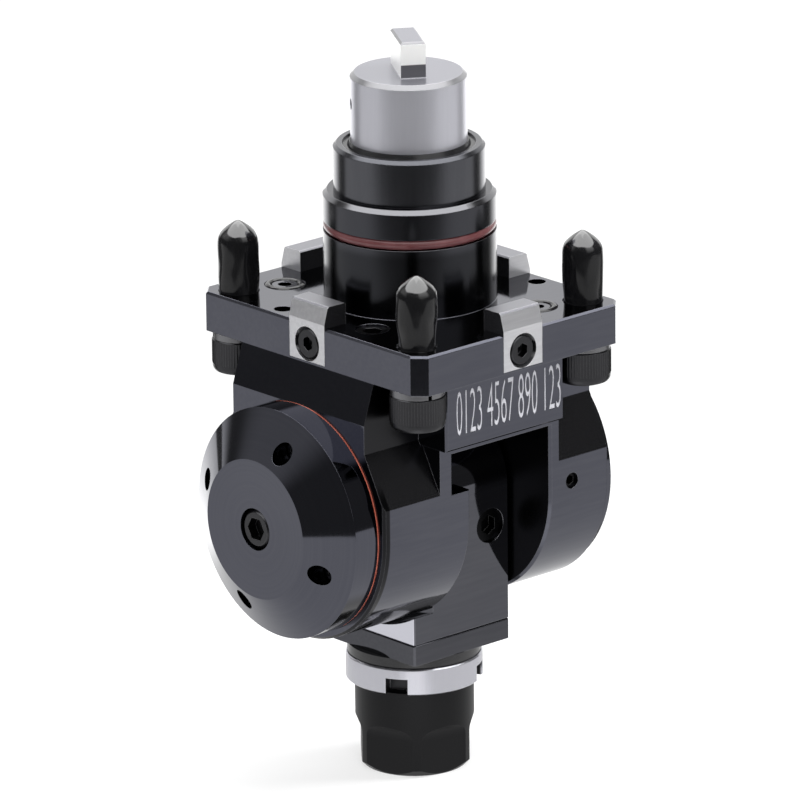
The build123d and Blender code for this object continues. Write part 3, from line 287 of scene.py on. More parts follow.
@dataclass(frozen=True)
class Place:
    """Object coordinates and normal of a shaded point."""

    vector: Value
    x: Value
    y: Value
    z: Value
    nx: Value
    ny: Value
    nz: Value

    def radius(self) -> Value:
        """Distance from the drive's axis."""
        return (self.x.squared() + self.y.squared()).root()

    def lift(self) -> Value:
        """Height above the swivel axis."""
        return self.z - SWIVEL_Z

    def reach(self) -> Value:
        """Distance from the swivel axis."""
        return (self.x.squared() + self.lift().squared()).root()


class Marks(Enum):
    """Direction of the fine tool marks on a metal surface."""

    TURNED_Z = "rings about Z"
    TURNED_Y = "rings about the swivel axis"
    DRAWN_Z = "strokes along Z"
    MILLED = "straight passes"
    GRAIN = "fine even grain"


TURNING = Texture(2600.0, 2.0, 0.7)
DRAWING = Texture(2200.0, 2.0, 0.7)
MILLING = Texture(1500.0, 2.0, 0.6)
GRAIN = Texture(3000.0, 3.0, 0.6)
CLOUD = Texture(45.0)
SMEAR = Texture(700.0, 3.0, 0.6)
LUMPS = Texture(260.0, 3.0)
NOISE_MIDDLE = 0.5
STROKE_SHARE = 0.04
PASS_ACROSS = 0.8
PASS_ALONG = 0.05
BEVEL_SAMPLES = 6
EDGE_TURN: Ramp = (0.995, 0.9)
EDGE_LEAST = 0.35
EDGE_SMEAR = 0.9
TONE_RAMP: Ramp = (0.3, 0.75)
CLOUD_TONE = 0.03
MARK_HEIGHT = 0.02 * MM


@dataclass(frozen=True)
class Patch:
    """Region of a finish with a tone and roughness of its own."""

    mask: Value
    tint: Colour
    roughness: float


@dataclass(frozen=True)
class Metal:
    """Machined metal with tool marks, slightly uneven sheen and broken edges."""

    name: str
    tint: Colour
    worn: Colour
    roughness: float
    spread: float = 0.03
    marks: Marks = Marks.GRAIN
    depth: float = 0.02
    edge: float = 0.22 * MM
    wear: float = 0.5
    metallic: float = 1.0
    streaks: float = 0.04

    def lines(self, graph: Graph, place: Place) -> Value:
        """Height of the tool marks.

        Args:
            graph: The material's tree.
            place: The shaded point.

        Returns:
            A value between 0 and 1.
        """
        if self.marks is Marks.TURNED_Z:
            return graph.noise(graph.join(place.radius(), place.z, 0.0), TURNING)
        if self.marks is Marks.TURNED_Y:
            return graph.noise(graph.join(place.reach(), place.y, 0.0), TURNING)
        if self.marks is Marks.DRAWN_Z:
            return graph.noise(graph.join(place.x, place.y, place.z * STROKE_SHARE), DRAWING)
        if self.marks is Marks.MILLED:
            passes = graph.join(place.x * PASS_ACROSS, place.y * PASS_ALONG, place.z * PASS_ACROSS)
            return graph.noise(passes, MILLING)
        return graph.noise(place.vector, GRAIN)

    def patches(self, place: Place) -> list[Patch]:
        """Regions that differ, none on a plain finish."""
        return []

    def make(self) -> bpy.types.Material:
        """Build the material.

        Returns:
            The new material.
        """
        material, graph = blank_material(self.name)
        place = graph.place()
        cloud = graph.noise(place.vector, CLOUD)
        smear = graph.noise(place.vector, SMEAR)
        marks = self.lines(graph, place)
        rounded = graph.node("ShaderNodeBevel", {"samples": BEVEL_SAMPLES}, {"Radius": self.edge})
        flat = graph.node("ShaderNodeNewGeometry", output="Normal")
        facing = graph.node("ShaderNodeVectorMath", {"operation": "DOT_PRODUCT"},
                            {0: rounded, 1: flat}, "Value")
        edge = facing.step(EDGE_TURN) * (EDGE_LEAST + smear * EDGE_SMEAR) * self.wear
        shade = graph.mix(marks.step(TONE_RAMP) * self.streaks + cloud.step(TONE_RAMP) * CLOUD_TONE,
                          self.tint, self.worn)
        rough = (self.roughness + (cloud - NOISE_MIDDLE) * self.spread
                 + (marks - NOISE_MIDDLE) * self.spread)
        for patch in self.patches(place):
            shade = graph.mix(patch.mask, shade, patch.tint)
            rough = rough + (patch.roughness - rough) * patch.mask
        colour = graph.mix(edge, shade, self.worn)
        bump = graph.node("ShaderNodeBump", {}, {
            "Strength": self.depth, "Distance": MARK_HEIGHT, "Height": marks, "Normal": rounded})
        surface = graph.node("ShaderNodeBsdfPrincipled", {}, {
            "Base Color": colour, "Metallic": self.metallic, "Roughness": rough, "Normal": bump})
        graph.shader("ShaderNodeOutputMaterial", surface)
        return material


@dataclass(frozen=True)
class HousingOxide(Metal):
    """Blackened housing: polished faces, a satin turned pilot, dull walls inside the fork, and
    painted shade.
    """

    pilot: Colour = (0.06, 0.061, 0.069)
    # The lower pilot's colour is painted shade, darker towards the flange.
    pilot_painted_shade: Colour = (0.034, 0.035, 0.039)
    lead: Colour = (0.16, 0.16, 0.17)
    inner: Colour = (0.05, 0.05, 0.054)
    # The pocket colour is painted shade on the leg's pocket walls.
    pocket_painted_shade: Colour = (0.03, 0.03, 0.032)
    slope: Colour = (0.08, 0.08, 0.086)
    # The shadow colour is a painted shadow under the drum and on its front band.
    shadow: Colour = (0.02, 0.02, 0.022)
    satin: float = 0.2
    dull: float = 0.3
    lead_sheen: float = 0.16
    slope_sheen: float = 0.24
    pilot_foot: Ramp = mm(0.1, 0.4)
    pilot_wall: Ramp = mm(20.9, 20.5)
    pilot_low: Ramp = mm(16.4, 14.0)
    lead_tilt: Span = (0.6, 0.68, 0.78, 0.84)
    lead_height: Ramp = mm(24.0, 24.6)
    ear_facing: Ramp = (-0.9, -0.98)
    ear_wall: Span = mm(16.4, 16.5, 16.7, 16.8)
    side_facing: Ramp = (0.85, 0.95)
    pocket_wall: Span = mm(22.3, 22.4, 22.6, 22.7)
    pocket_reach: Ramp = mm(-17.5, -17.8)
    slope_across: Span = (0.7, 0.74, 0.8, 0.82)
    slope_up: Ramp = (0.4, 0.45)
    drum_below: Ramp = mm(-19.5, -22.5)
    drum_length: Span = mm(-29.0, -26.0, -9.0, -8.0)
    band_low: Ramp = mm(14.0, 10.0)
    band_front: Ramp = mm(-33.0, -33.4)
    band_wall: Ramp = (0.8, 0.65)

    def patches(self, place: Place) -> list[Patch]:
        """The pilot and its lead, the ear's inner face, the leg's slopes, painted shade on the
        lower pilot and the pockets, and a painted shadow at the drum.

        Args:
            place: The shaded point.

        Returns:
            The regions.
        """
        across = place.nx.squared()
        pilot = place.z.step(self.pilot_foot) * place.radius().step(self.pilot_wall)
        # Painted shade on the pilot below this height.
        pilot_low = pilot * place.z.step(self.pilot_low)
        lead = place.nz.window(self.lead_tilt) * place.z.step(self.lead_height)
        inner = place.ny.step(self.ear_facing) * place.y.window(self.ear_wall)
        # Painted shade on the leg's pocket walls.
        pocket_painted_shade = (across.step(self.side_facing) * place.x.size().window(self.pocket_wall)
                  * place.y.step(self.pocket_reach))
        slope = across.window(self.slope_across) * place.nz.step(self.slope_up)
        # Painted shadow under the drum and on its front band.
        under = place.lift().step(self.drum_below) * place.y.window(self.drum_length)
        band = (place.lift().step(self.band_low) * place.y.step(self.band_front)
                * place.ny.squared().step(self.band_wall))
        return [Patch(pilot, self.pilot, self.satin),
                Patch(pilot_low, self.pilot_painted_shade, self.satin),
                Patch(lead, self.lead, self.lead_sheen),
                Patch(inner, self.inner, self.dull),
                Patch(pocket_painted_shade, self.pocket_painted_shade, self.dull),
                Patch(slope, self.slope, self.slope_sheen),
                Patch(under, self.shadow, self.satin),
                Patch(band, self.shadow, self.satin)]


@dataclass(frozen=True)
class CoverOxide(Metal):
    """Polished cover whose cylindrical band carries painted shade low down."""

    # The low colour is painted shade for the lower part of the band.
    low: Colour = (0.03, 0.03, 0.034)
    low_sheen: float = 0.12
    wall: Ramp = (0.2, 0.1)
    below: Ramp = mm(-11.0, -15.0)

    def patches(self, place: Place) -> list[Patch]:
        """Painted shade on the lower part of the band beside the rubber ring.

        Args:
            place: The shaded point.

        Returns:
            The region.
        """
        # Painted shade low on the band.
        band = place.ny.squared().step(self.wall) * place.lift().step(self.below)
        return [Patch(band, self.low, self.low_sheen)]


@dataclass(frozen=True)
class HeadOxide(Metal):
    """Polished black head with a painted highlight on its lower front face."""

    # A pale colour that paints a highlight on the lower front face.
    painted_highlight: Colour = (0.6, 0.6, 0.66)
    highlight_sheen: float = 0.16
    saddle: Ramp = mm(30.2, 30.4)
    front: Ramp = mm(-13.7, -13.85)
    below: Ramp = mm(-60.0, -61.0)

    def patches(self, place: Place) -> list[Patch]:
        """The painted highlight on the front face below the saddle.

        Args:
            place: The shaded point.

        Returns:
            The region.
        """
        # Painted highlight below the saddle.
        face = (place.y.step(self.front) * place.reach().step(self.saddle)
                * place.z.step(self.below))
        return [Patch(face, self.painted_highlight, self.highlight_sheen)]


@dataclass(frozen=True)
class ShaftSteel(Metal):
    """Ground drive steel with painted shade on its end face and a painted highlight on its tang."""

    # The end and rim colours are painted shade: darker tones for the upward faces at the shaft's
    # end.
    end: Colour = (0.27, 0.27, 0.3)
    rim: Colour = (0.24, 0.24, 0.25)
    # The tang's near-white colour is a painted highlight.
    tang_painted_highlight: Colour = (1.0, 1.0, 0.99)
    # The foot colour is a painted dark reflection.
    painted_reflection_foot: Colour = (0.145, 0.145, 0.16)
    tang_sheen: float = 0.5
    foot_sheen: float = 0.4
    tang_turn: float = -32.0
    end_height: Ramp = mm(50.0, 51.0)
    end_facing: Ramp = (0.8, 0.9)
    rim_tilt: Span = (0.5, 0.65, 0.78, 0.86)
    tang_height: Ramp = mm(53.7, 53.9)
    tang_facing: Ramp = (0.5, 0.3)
    foot_facing: Ramp = (0.8, 0.9)
    foot_height: Ramp = mm(56.9, 56.7)

    def patches(self, place: Place) -> list[Patch]:
        """Painted shade on the upward faces at the shaft's end, a painted highlight on the tang's
        sides and a painted dark reflection at the foot of its ends.

        Args:
            place: The shaded point.

        Returns:
            The regions.
        """
        high = place.z.step(self.end_height)
        sides = place.z.step(self.tang_height) * place.nz.step(self.tang_facing)
        turn = math.radians(self.tang_turn)
        along = place.nx * math.cos(turn) + place.ny * math.sin(turn)
        # Painted dark reflection at the foot of the tang's ends.
        painted_reflection_foot = sides * along.squared().step(self.foot_facing) * place.z.step(self.foot_height)
        # Painted shade on the end face and rim, and a painted highlight on the tang's sides.
        return [Patch(high * place.nz.step(self.end_facing), self.end, self.roughness),
                Patch(high * place.nz.window(self.rim_tilt), self.rim, self.roughness),
                Patch(sides, self.tang_painted_highlight, self.tang_sheen),
                Patch(painted_reflection_foot, self.painted_reflection_foot, self.foot_sheen)]


@dataclass(frozen=True)
class KeySteel(Metal):
    """Ground key with a darker top as painted shade, blackened inner faces, and front flanks
    darkened as painted shade.
    """

    # The top colour is painted shade on the upward faces.
    top: Colour = (0.22, 0.22, 0.24)
    # One dark colour for the blackened inner faces and the painted shade on the front flanks.
    black_and_painted_shade: Colour = (0.03, 0.03, 0.033)
    dark_sheen: float = 0.26
    upward: Ramp = (0.5, 0.66)
    level: Ramp = (0.8, 0.95)
    inner_x: Span = mm(31.0, 31.2, 31.6, 31.8)
    inner_y: Span = mm(25.0, 25.2, 25.6, 25.8)
    front: Ramp = mm(-24.5, -25.0)
    right: Ramp = mm(30.6, 31.0)

    def patches(self, place: Place) -> list[Patch]:
        """The tops, darkened as painted shade, the blackened inner faces and the front flanks'
        painted shade.

        Args:
            place: The shaded point.

        Returns:
            The regions.
        """
        along_x = place.nx.squared().step(self.level)
        along_y = place.ny.squared().step(self.level)
        masks = (along_x * place.x.size().window(self.inner_x),
                 along_y * place.y.size().window(self.inner_y),
                 # The front keys' flanks: painted shade.
                 along_x * place.y.step(self.front),
                 along_y * place.x.step(self.right))
        dark = [Patch(mask, self.black_and_painted_shade, self.dark_sheen) for mask in masks]
        # Painted shade on the tops.
        return [Patch(place.nz.step(self.upward), self.top, self.roughness)] + dark


@dataclass(frozen=True)
class CollarSteel(Metal):
    """Brushed spindle collar with dark spanner notches."""

    notch: Colour = (0.03, 0.03, 0.032)
    notch_sheen: float = 0.3
    inside: Ramp = mm(15.7, 15.3)
    heights: Span = mm(-92.6, -92.3, -86.3, -86.1)

    def patches(self, place: Place) -> list[Patch]:
        """The walls of the notches, inside the collar's rim.

        Args:
            place: The shaded point.

        Returns:
            The region.
        """
        walls = place.radius().step(self.inside) * place.z.window(self.heights)
        return [Patch(walls, self.notch, self.notch_sheen)]


@dataclass(frozen=True)
class Rubber:
    """Moulded rubber or vinyl with a soft sheen."""

    name: str
    tint: Colour
    pale: Colour
    roughness: float
    lumps: float = 0.15
    gloss: float = 1.5
    pale_ramp: Ramp = (0.35, 0.8)
    cloud_spread: float = 0.12
    grain_spread: float = 0.06
    lump_height: float = 0.25 * MM
    grain_share: float = 0.06
    coat_gloss: float = 1.8
    coat_roughness: float = 0.12

    def coat(self, place: Place) -> Union[Value, float]:
        """Weight of the shiny coat, none on plain rubber."""
        return 0.0

    def make(self) -> bpy.types.Material:
        """Build the material.

        Returns:
            The new material.
        """
        material, graph = blank_material(self.name)
        place = graph.place()
        cloud = graph.noise(place.vector, LUMPS)
        grain = graph.noise(place.vector, GRAIN)
        colour = graph.mix(cloud.step(self.pale_ramp), self.tint, self.pale)
        rough = (self.roughness + (cloud - NOISE_MIDDLE) * self.cloud_spread
                 + (grain - NOISE_MIDDLE) * self.grain_spread)
        bump = graph.node("ShaderNodeBump", {}, {
            "Strength": self.lumps, "Distance": self.lump_height,
            "Height": cloud + grain * self.grain_share})
        surface = graph.node("ShaderNodeBsdfPrincipled", {}, {
            "Base Color": colour, "Roughness": rough, "Normal": bump, "IOR": self.gloss,
            "Coat Weight": self.coat(place), "Coat IOR": self.coat_gloss,
            "Coat Roughness": self.coat_roughness})
        graph.shader("ShaderNodeOutputMaterial", surface)
        return material


@dataclass(frozen=True)
class CapVinyl(Rubber):
    """Black vinyl whose drawn-in tip is the shiniest part."""

    tip: Ramp = (12.6 * MM, 12.6 * MM + 1.4 * MM)

    def coat(self, place: Place) -> Union[Value, float]:
        """Weight of the shiny coat, full on the tip and none on the wall."""
        return place.z.step(self.tip)


OXIDE = (0.084, 0.086, 0.105)
OXIDE_WORN = (0.3, 0.3, 0.32)


class Finish(Enum):
    """The finishes of the holder."""

    HOUSING = HousingOxide("housing_oxide", OXIDE, OXIDE_WORN, 0.08, 0.02, Marks.MILLED, 0.01,
                           wear=0.4)
    COVER = CoverOxide("cover_oxide", OXIDE, OXIDE_WORN, 0.08, 0.02, Marks.TURNED_Y, 0.01,
                       edge=0.08 * MM, wear=0.1)
    RING = Metal("ring_oxide", (0.088, 0.09, 0.1), OXIDE_WORN, 0.22, 0.03, Marks.DRAWN_Z, 0.02)
    HEAD = HeadOxide("head_oxide", (0.082, 0.083, 0.095), OXIDE_WORN, 0.06, 0.015, Marks.MILLED,
                     0.008)
    NOSE = Metal("nose_oxide", (0.066, 0.067, 0.076), OXIDE_WORN, 0.1, 0.02, Marks.MILLED, 0.01)
    SHAFT = ShaftSteel("shaft_ground", (0.42, 0.42, 0.46), (0.7, 0.7, 0.72), 0.29, 0.03,
                       Marks.DRAWN_Z, 0.008, metallic=0.7)
    KEY = KeySteel("key_ground", (0.5, 0.5, 0.52), (0.8, 0.8, 0.81), 0.34, 0.08, Marks.MILLED, 0.1,
                   metallic=0.8, streaks=0.2)
    COLLAR = CollarSteel("collar_brushed", (0.46, 0.46, 0.5), (0.7, 0.7, 0.73), 0.24, 0.05,
                         Marks.DRAWN_Z, 0.02, metallic=0.9, streaks=0.08)
    ENGRAVING = Metal("number_engraving", (0.5, 0.5, 0.54), (0.7, 0.7, 0.74), 0.5, 0.1,
                      Marks.GRAIN, 0.2, metallic=0.5, streaks=0.3)
    SCREW = Metal("screw_black", (0.042, 0.042, 0.045), (0.22, 0.22, 0.23), 0.32, 0.08,
                  Marks.GRAIN, 0.1)
    PORT_PLUG = Metal("port_plug_black", (0.009, 0.009, 0.01), (0.1, 0.1, 0.1), 0.3, 0.05,
                      Marks.GRAIN, 0.1)
    WASHER = Metal("washer_dull", (0.2, 0.2, 0.21), (0.45, 0.45, 0.46), 0.34, 0.08,
                   Marks.TURNED_Z, 0.1)
    NUT = Metal("nut_matt", (0.022, 0.022, 0.023), (0.07, 0.07, 0.072), 0.46, 0.05,
                Marks.GRAIN, 0.1)
    BEARING = Metal("bearing_polished", (0.66, 0.66, 0.67), (0.75, 0.75, 0.75), 0.16, 0.05,
                    Marks.TURNED_Z, 0.03)
    GEAR = Metal("gear_ground", (0.5, 0.5, 0.5), (0.7, 0.7, 0.7), 0.3, 0.1, Marks.GRAIN, 0.08)
    BUSH = Metal("bush_bronze", (0.6, 0.4, 0.18), (0.75, 0.55, 0.3), 0.3, 0.1, Marks.TURNED_Y, 0.08)
    CAP = CapVinyl("cap_vinyl", (0.004, 0.004, 0.0045), (0.006, 0.006, 0.0065), 0.14, 0.02, 1.35)
    SEAL = Rubber("seal_rubber", (0.008, 0.008, 0.009), (0.014, 0.014, 0.015), 0.22, 0.04)
    PORT_RING = Rubber("port_ring_rubber", (0.008, 0.008, 0.009), (0.012, 0.012, 0.013), 0.12, 0.02)
    PILOT_RING = Rubber("pilot_ring_rubber", (0.08, 0.026, 0.028), (0.11, 0.042, 0.044), 0.22, 0.03)
    DRUM_RING = Rubber("drum_ring_rubber", (0.34, 0.08, 0.05), (0.44, 0.13, 0.09), 0.32, 0.04)

    @property
    def material(self) -> bpy.types.Material:
        """The finish's material, made when it is first asked for."""
        return bpy.data.materials.get(self.value.name) or self.value.make()


NODE_FINISH: dict[Finish, tuple[str, ...]] = {
    Finish.HOUSING: ("fork_housing",),
    Finish.COVER: ("drum_cover", "rear_cover"),
    Finish.RING: ("bearing_ring_nut",),
    Finish.HEAD: ("head_body",),
    Finish.NOSE: ("nose_plate",),
    Finish.SHAFT: ("drive_shaft", "spindle", "pivot_pin", "pivot_washer"),
    Finish.KEY: ("turret_keys",),
    Finish.COLLAR: ("spindle_collar", "collet"),
    Finish.SCREW: ("key_screws", "flange_bolts", "flange_plugs", "drum_cover_screws", "centre_plug",
                   "rear_cover_screws", "pivot_screw", "nose_plate_screws"),
    Finish.PORT_PLUG: ("head_plugs", "swivel_lock_screw"),
    Finish.WASHER: ("bolt_washers",),
    Finish.NUT: ("collet_nut",),
    Finish.BEARING: ("drive_bearing_upper", "drive_bearing_lower", "drive_spacer_outer",
                     "drive_spacer_inner", "layshaft_bearing_inner", "layshaft_bearing_outer",
                     "cross_bearing_inner", "cross_bearing_outer", "spindle_bearing_upper",
                     "spindle_bearing_lower", "spindle_spacer"),
    Finish.GEAR: ("drive_bevel_gear", "layshaft", "layshaft_bevel_gear", "layshaft_pinion",
                  "cross_shaft", "cross_wheel", "cross_bevel_gear", "spindle_bevel_gear"),
    Finish.BUSH: ("trunnion_bush", "pivot_bush"),
    Finish.CAP: ("bolt_caps",),
    Finish.SEAL: ("shaft_seal", "nose_seal"),
    Finish.PORT_RING: ("coolant_orings",),
    Finish.PILOT_RING: ("pilot_oring",),
    Finish.DRUM_RING: ("drum_oring",),
}


def dress_nodes() -> None:
    """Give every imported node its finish."""
    left = set(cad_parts)
    for finish, names in NODE_FINISH.items():
        for name in names:
            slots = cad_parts[name].data.materials
            slots.clear()
            slots.append(finish.material)
            left.discard(name)
    if left:
        LOG.warning("no finish for %s", sorted(left))


def turned(profile: tuple[tuple[float, float], ...], steps: int) -> bmesh.types.BMesh:
    """Mesh turned about Z.

    Args:
        profile: Radius and height pairs in millimetres, from one end to the other.
        steps: Faces round the axis.

    Returns:
        The new mesh.
    """
    made = bmesh.new()
    verts = [made.verts.new((r * MM, 0.0, z * MM)) for r, z in profile]
    edges = [made.edges.new(pair) for pair in zip(verts, verts[1:])]
    bmesh.ops.spin(made, geom=verts + edges, cent=(0, 0, 0), axis=(0, 0, 1), dvec=(0, 0, 0),
                   angle=math.tau, steps=steps, use_merge=True)
    bmesh.ops.remove_doubles(made, verts=made.verts, dist=MERGE)
    bmesh.ops.recalc_face_normals(made, faces=made.faces)
    return made


def boundary(made: bmesh.types.BMesh) -> list[bmesh.types.BMEdge]:
    """Open edges of a mesh."""
    return [edge for edge in made.edges if edge.is_boundary]


def piece(name: str, meshes: list[bmesh.types.BMesh], finish: Finish, body: str,
          replaced: Optional[str] = None, crease: float = 35.0) -> bpy.types.Object:
    """Join meshes into one dressed piece that rides on a body.

    Args:
        name: The piece's name.
        meshes: Its solids, which are freed.
        finish: Its finish.
        body: The body that carries it.
        replaced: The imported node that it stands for.
        crease: Angle in degrees above which an edge stays sharp.

    Returns:
        The new object.
    """
    whole = bmesh.new()
    for made in meshes:
        part = bpy.data.meshes.new(f"{name}_part")
        made.to_mesh(part)
        made.free()
        whole.from_mesh(part)
        bpy.data.meshes.remove(part)
    mesh = bpy.data.meshes.new(name)
    whole.to_mesh(mesh)
    whole.free()
    mesh.shade_smooth()
    mesh.set_sharp_from_angle(angle=math.radians(crease))
    mesh.materials.append(finish.material)
    made_object = bpy.data.objects.new(name, mesh)
    bpy.context.scene.collection.objects.link(made_object)
    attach(made_object, body)
    if replaced:
        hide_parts(replaced)
    LOG.info("%s: %d faces", name, len(mesh.polygons))
    return made_object


@dataclass
class FlangeBolts:
    """Four socket head bolts with knurled sides and rounded lower rims."""

    x: float = 30.5
    y: float = 25.75
    seat: float = -11.0
    tip: float = 14.0
    shank: float = 4.0
    head: float = 6.5
    height: float = 8.0
    ridges: int = 60
    knurl: float = 0.16
    socket: float = 6.0
    lead_in: float = 0.25
    depth: float = 4.8
    crease: float = 24.0
    tolerance: float = 1e-6

    def profile(self) -> tuple[tuple[float, float], ...]:
        """Outline of a bolt.

        Returns:
            Radius and height pairs from the tip to the socket's lead-in.
        """
        low = self.seat - self.height
        return ((0.0, self.tip), (self.shank - 0.5, self.tip), (self.shank, self.tip - 0.5),
                (self.shank, self.seat), (self.head - 0.35, self.seat),
                (self.head - 0.05, self.seat - 0.3), (self.head, self.seat - 0.5),
                (self.head, low + 2.1), (self.head - 0.1, low + 1.9), (self.head - 0.08, low + 1.3),
                (self.head - 0.22, low + 0.75), (self.head - 0.6, low + 0.25),
                (self.head - 1.15, low), (3.95, low), (3.6, low + self.lead_in))

    def cut_socket(self, bolt: bmesh.types.BMesh) -> None:
        """Close the open ring at the head's end with a hexagonal socket.

        Args:
            bolt: The turned bolt, which is changed.
        """
        rim = boundary(bolt)
        mouth = Matrix.Translation((0.0, 0.0, (self.seat - self.height + self.lead_in) * MM))
        hexagon = bmesh.ops.create_circle(bolt, cap_ends=False, segments=6, matrix=mouth,
                                          radius=self.socket / math.sqrt(3) * MM)["verts"]
        sides = list({edge for vert in hexagon for edge in vert.link_edges})
        # Each of the six sides gets as many points as a sixth of the rim has.
        bmesh.ops.subdivide_edges(bolt, edges=sides, cuts=self.ridges // 3 - 1)
        bmesh.ops.bridge_loops(bolt, edges=rim + [edge for edge in bolt.edges if edge.is_wire])
        floor = bmesh.ops.extrude_edge_only(bolt, edges=boundary(bolt))["geom"]
        deep = [item for item in floor if isinstance(item, bmesh.types.BMVert)]
        bmesh.ops.translate(bolt, vec=(0, 0, self.depth * MM), verts=deep)
        bmesh.ops.edgeloop_fill(bolt, edges=boundary(bolt))
        bmesh.ops.recalc_face_normals(bolt, faces=bolt.faces)

    def in_valley(self, vert: bmesh.types.BMVert) -> bool:
        """Whether a point lies between two ridges of the knurl.

        Args:
            vert: A point of the turned bolt.

        Returns:
            True on every second line of the head's side.
        """
        place = round(math.atan2(vert.co.y, vert.co.x) / math.tau * 2 * self.ridges)
        return abs(vert.co.xy.length - self.head * MM) < self.tolerance and place % 2 == 1

    def bolt(self) -> bmesh.types.BMesh:
        """One bolt about Z.

        Returns:
            The bolt's mesh.
        """
        bolt = turned(self.profile(), 2 * self.ridges)
        shrink = 1 - self.knurl / self.head
        bmesh.ops.scale(bolt, vec=(shrink, shrink, 1.0),
                        verts=[vert for vert in bolt.verts if self.in_valley(vert)])
        self.cut_socket(bolt)
        return bolt

    def make(self) -> bpy.types.Object:
        """Place the four bolts in the flange.

        Returns:
            The piece.
        """
        bolts = []
        for sx, sy in ((-1, -1), (-1, 1), (1, -1), (1, 1)):
            bolt = self.bolt()
            bmesh.ops.translate(bolt, vec=(sx * self.x * MM, sy * self.y * MM, 0.0),
                                verts=bolt.verts)
            bolts.append(bolt)
        return piece("flange_bolts_knurled", bolts, Finish.SCREW, "housing",
                     "flange_bolts", self.crease)


@dataclass(frozen=True)
class Squeeze:
    """How one cap is drawn in over its bolt: two depths, and the way that the dent faces."""

    waist: float
    dent: float
    turn: float


CAP_SQUEEZES: dict[tuple[int, int], Squeeze] = {
    (-1, -1): Squeeze(0.0, 0.1, 0.0),
    (1, -1): Squeeze(0.52, 0.4, 0.3),
    (1, 1): Squeeze(0.22, 0.12, -0.4),
    (-1, 1): Squeeze(0.1, 0.1, 2.0),
}


@dataclass
class BoltCaps:
    """Vinyl caps pushed over the bolt ends, each with its own folds."""

    x: float = 30.5
    y: float = 25.75
    steps: int = 72
    bore: float = 4.06
    mouth: float = -0.4
    ripple: float = 0.18
    folds_round: float = 2.2
    folds_up: float = 0.22
    waist_z: float = 1.2
    waist_height: float = 3.2
    dent_z: float = 5.6
    dent_height: float = 2.0
    dent_sharpness: int = 6
    seed_step: float = 7.3
    crease: float = 60.0

    def profile(self) -> tuple[tuple[float, float], ...]:
        """Outline of a cap.

        Returns:
            Radius and height pairs from the mouth in the flange up to the pointed top.
        """
        return ((4.1, -0.55), (4.5, -0.58), (4.62, -0.3), (4.66, 0.3), (4.7, 1.2), (4.72, 2.4),
                (4.74, 3.6), (4.75, 4.8), (4.76, 6.0), (4.76, 7.2), (4.76, 8.4), (4.75, 9.6),
                (4.73, 10.8), (4.7, 11.8), (4.62, 12.6), (4.42, 13.3), (4.1, 13.95), (3.6, 14.58),
                (2.95, 15.18), (2.25, 15.72), (1.55, 16.2), (0.95, 16.56), (0.42, 16.81),
                (0.0, 16.9))

    def squeeze(self, vert: bmesh.types.BMVert, how: Squeeze, seed: float) -> None:
        """Fold one point of the wall, which stays clear of the bolt.

        Args:
            vert: The point, which is moved.
            how: The cap's own squeeze.
            seed: Where its folds are read in the noise.
        """
        radius = vert.co.xy.length / MM
        height = vert.co.z / MM
        if radius <= self.bore or height < self.mouth:
            return
        turn = math.atan2(vert.co.y, vert.co.x)
        fold = noise.noise(Vector((self.folds_round * math.cos(turn) + seed,
                                   self.folds_round * math.sin(turn), self.folds_up * height)))
        waist = how.waist * math.exp(-((height - self.waist_z) / self.waist_height) ** 2)
        dent = how.dent * math.exp(-((height - self.dent_z) / self.dent_height) ** 2)
        dent *= max(0.0, math.cos(turn - how.turn)) ** self.dent_sharpness
        wall = max(self.bore, radius + self.ripple * fold - waist - dent)
        vert.co.x *= wall / radius
        vert.co.y *= wall / radius

    def make(self) -> bpy.types.Object:
        """Build the four caps.

        Returns:
            The piece.
        """
        caps = []
        for seed, ((sx, sy), how) in enumerate(CAP_SQUEEZES.items()):
            cap = turned(self.profile(), self.steps)
            for vert in cap.verts:
                self.squeeze(vert, how, self.seed_step * seed)
            bmesh.ops.edgeloop_fill(cap, edges=boundary(cap))
            bmesh.ops.recalc_face_normals(cap, faces=cap.faces)
            bmesh.ops.translate(cap, vec=(sx * self.x * MM, sy * self.y * MM, 0.0), verts=cap.verts)
            caps.append(cap)
        return piece("bolt_caps_vinyl", caps, Finish.CAP, "housing", "bolt_caps",
                     self.crease)


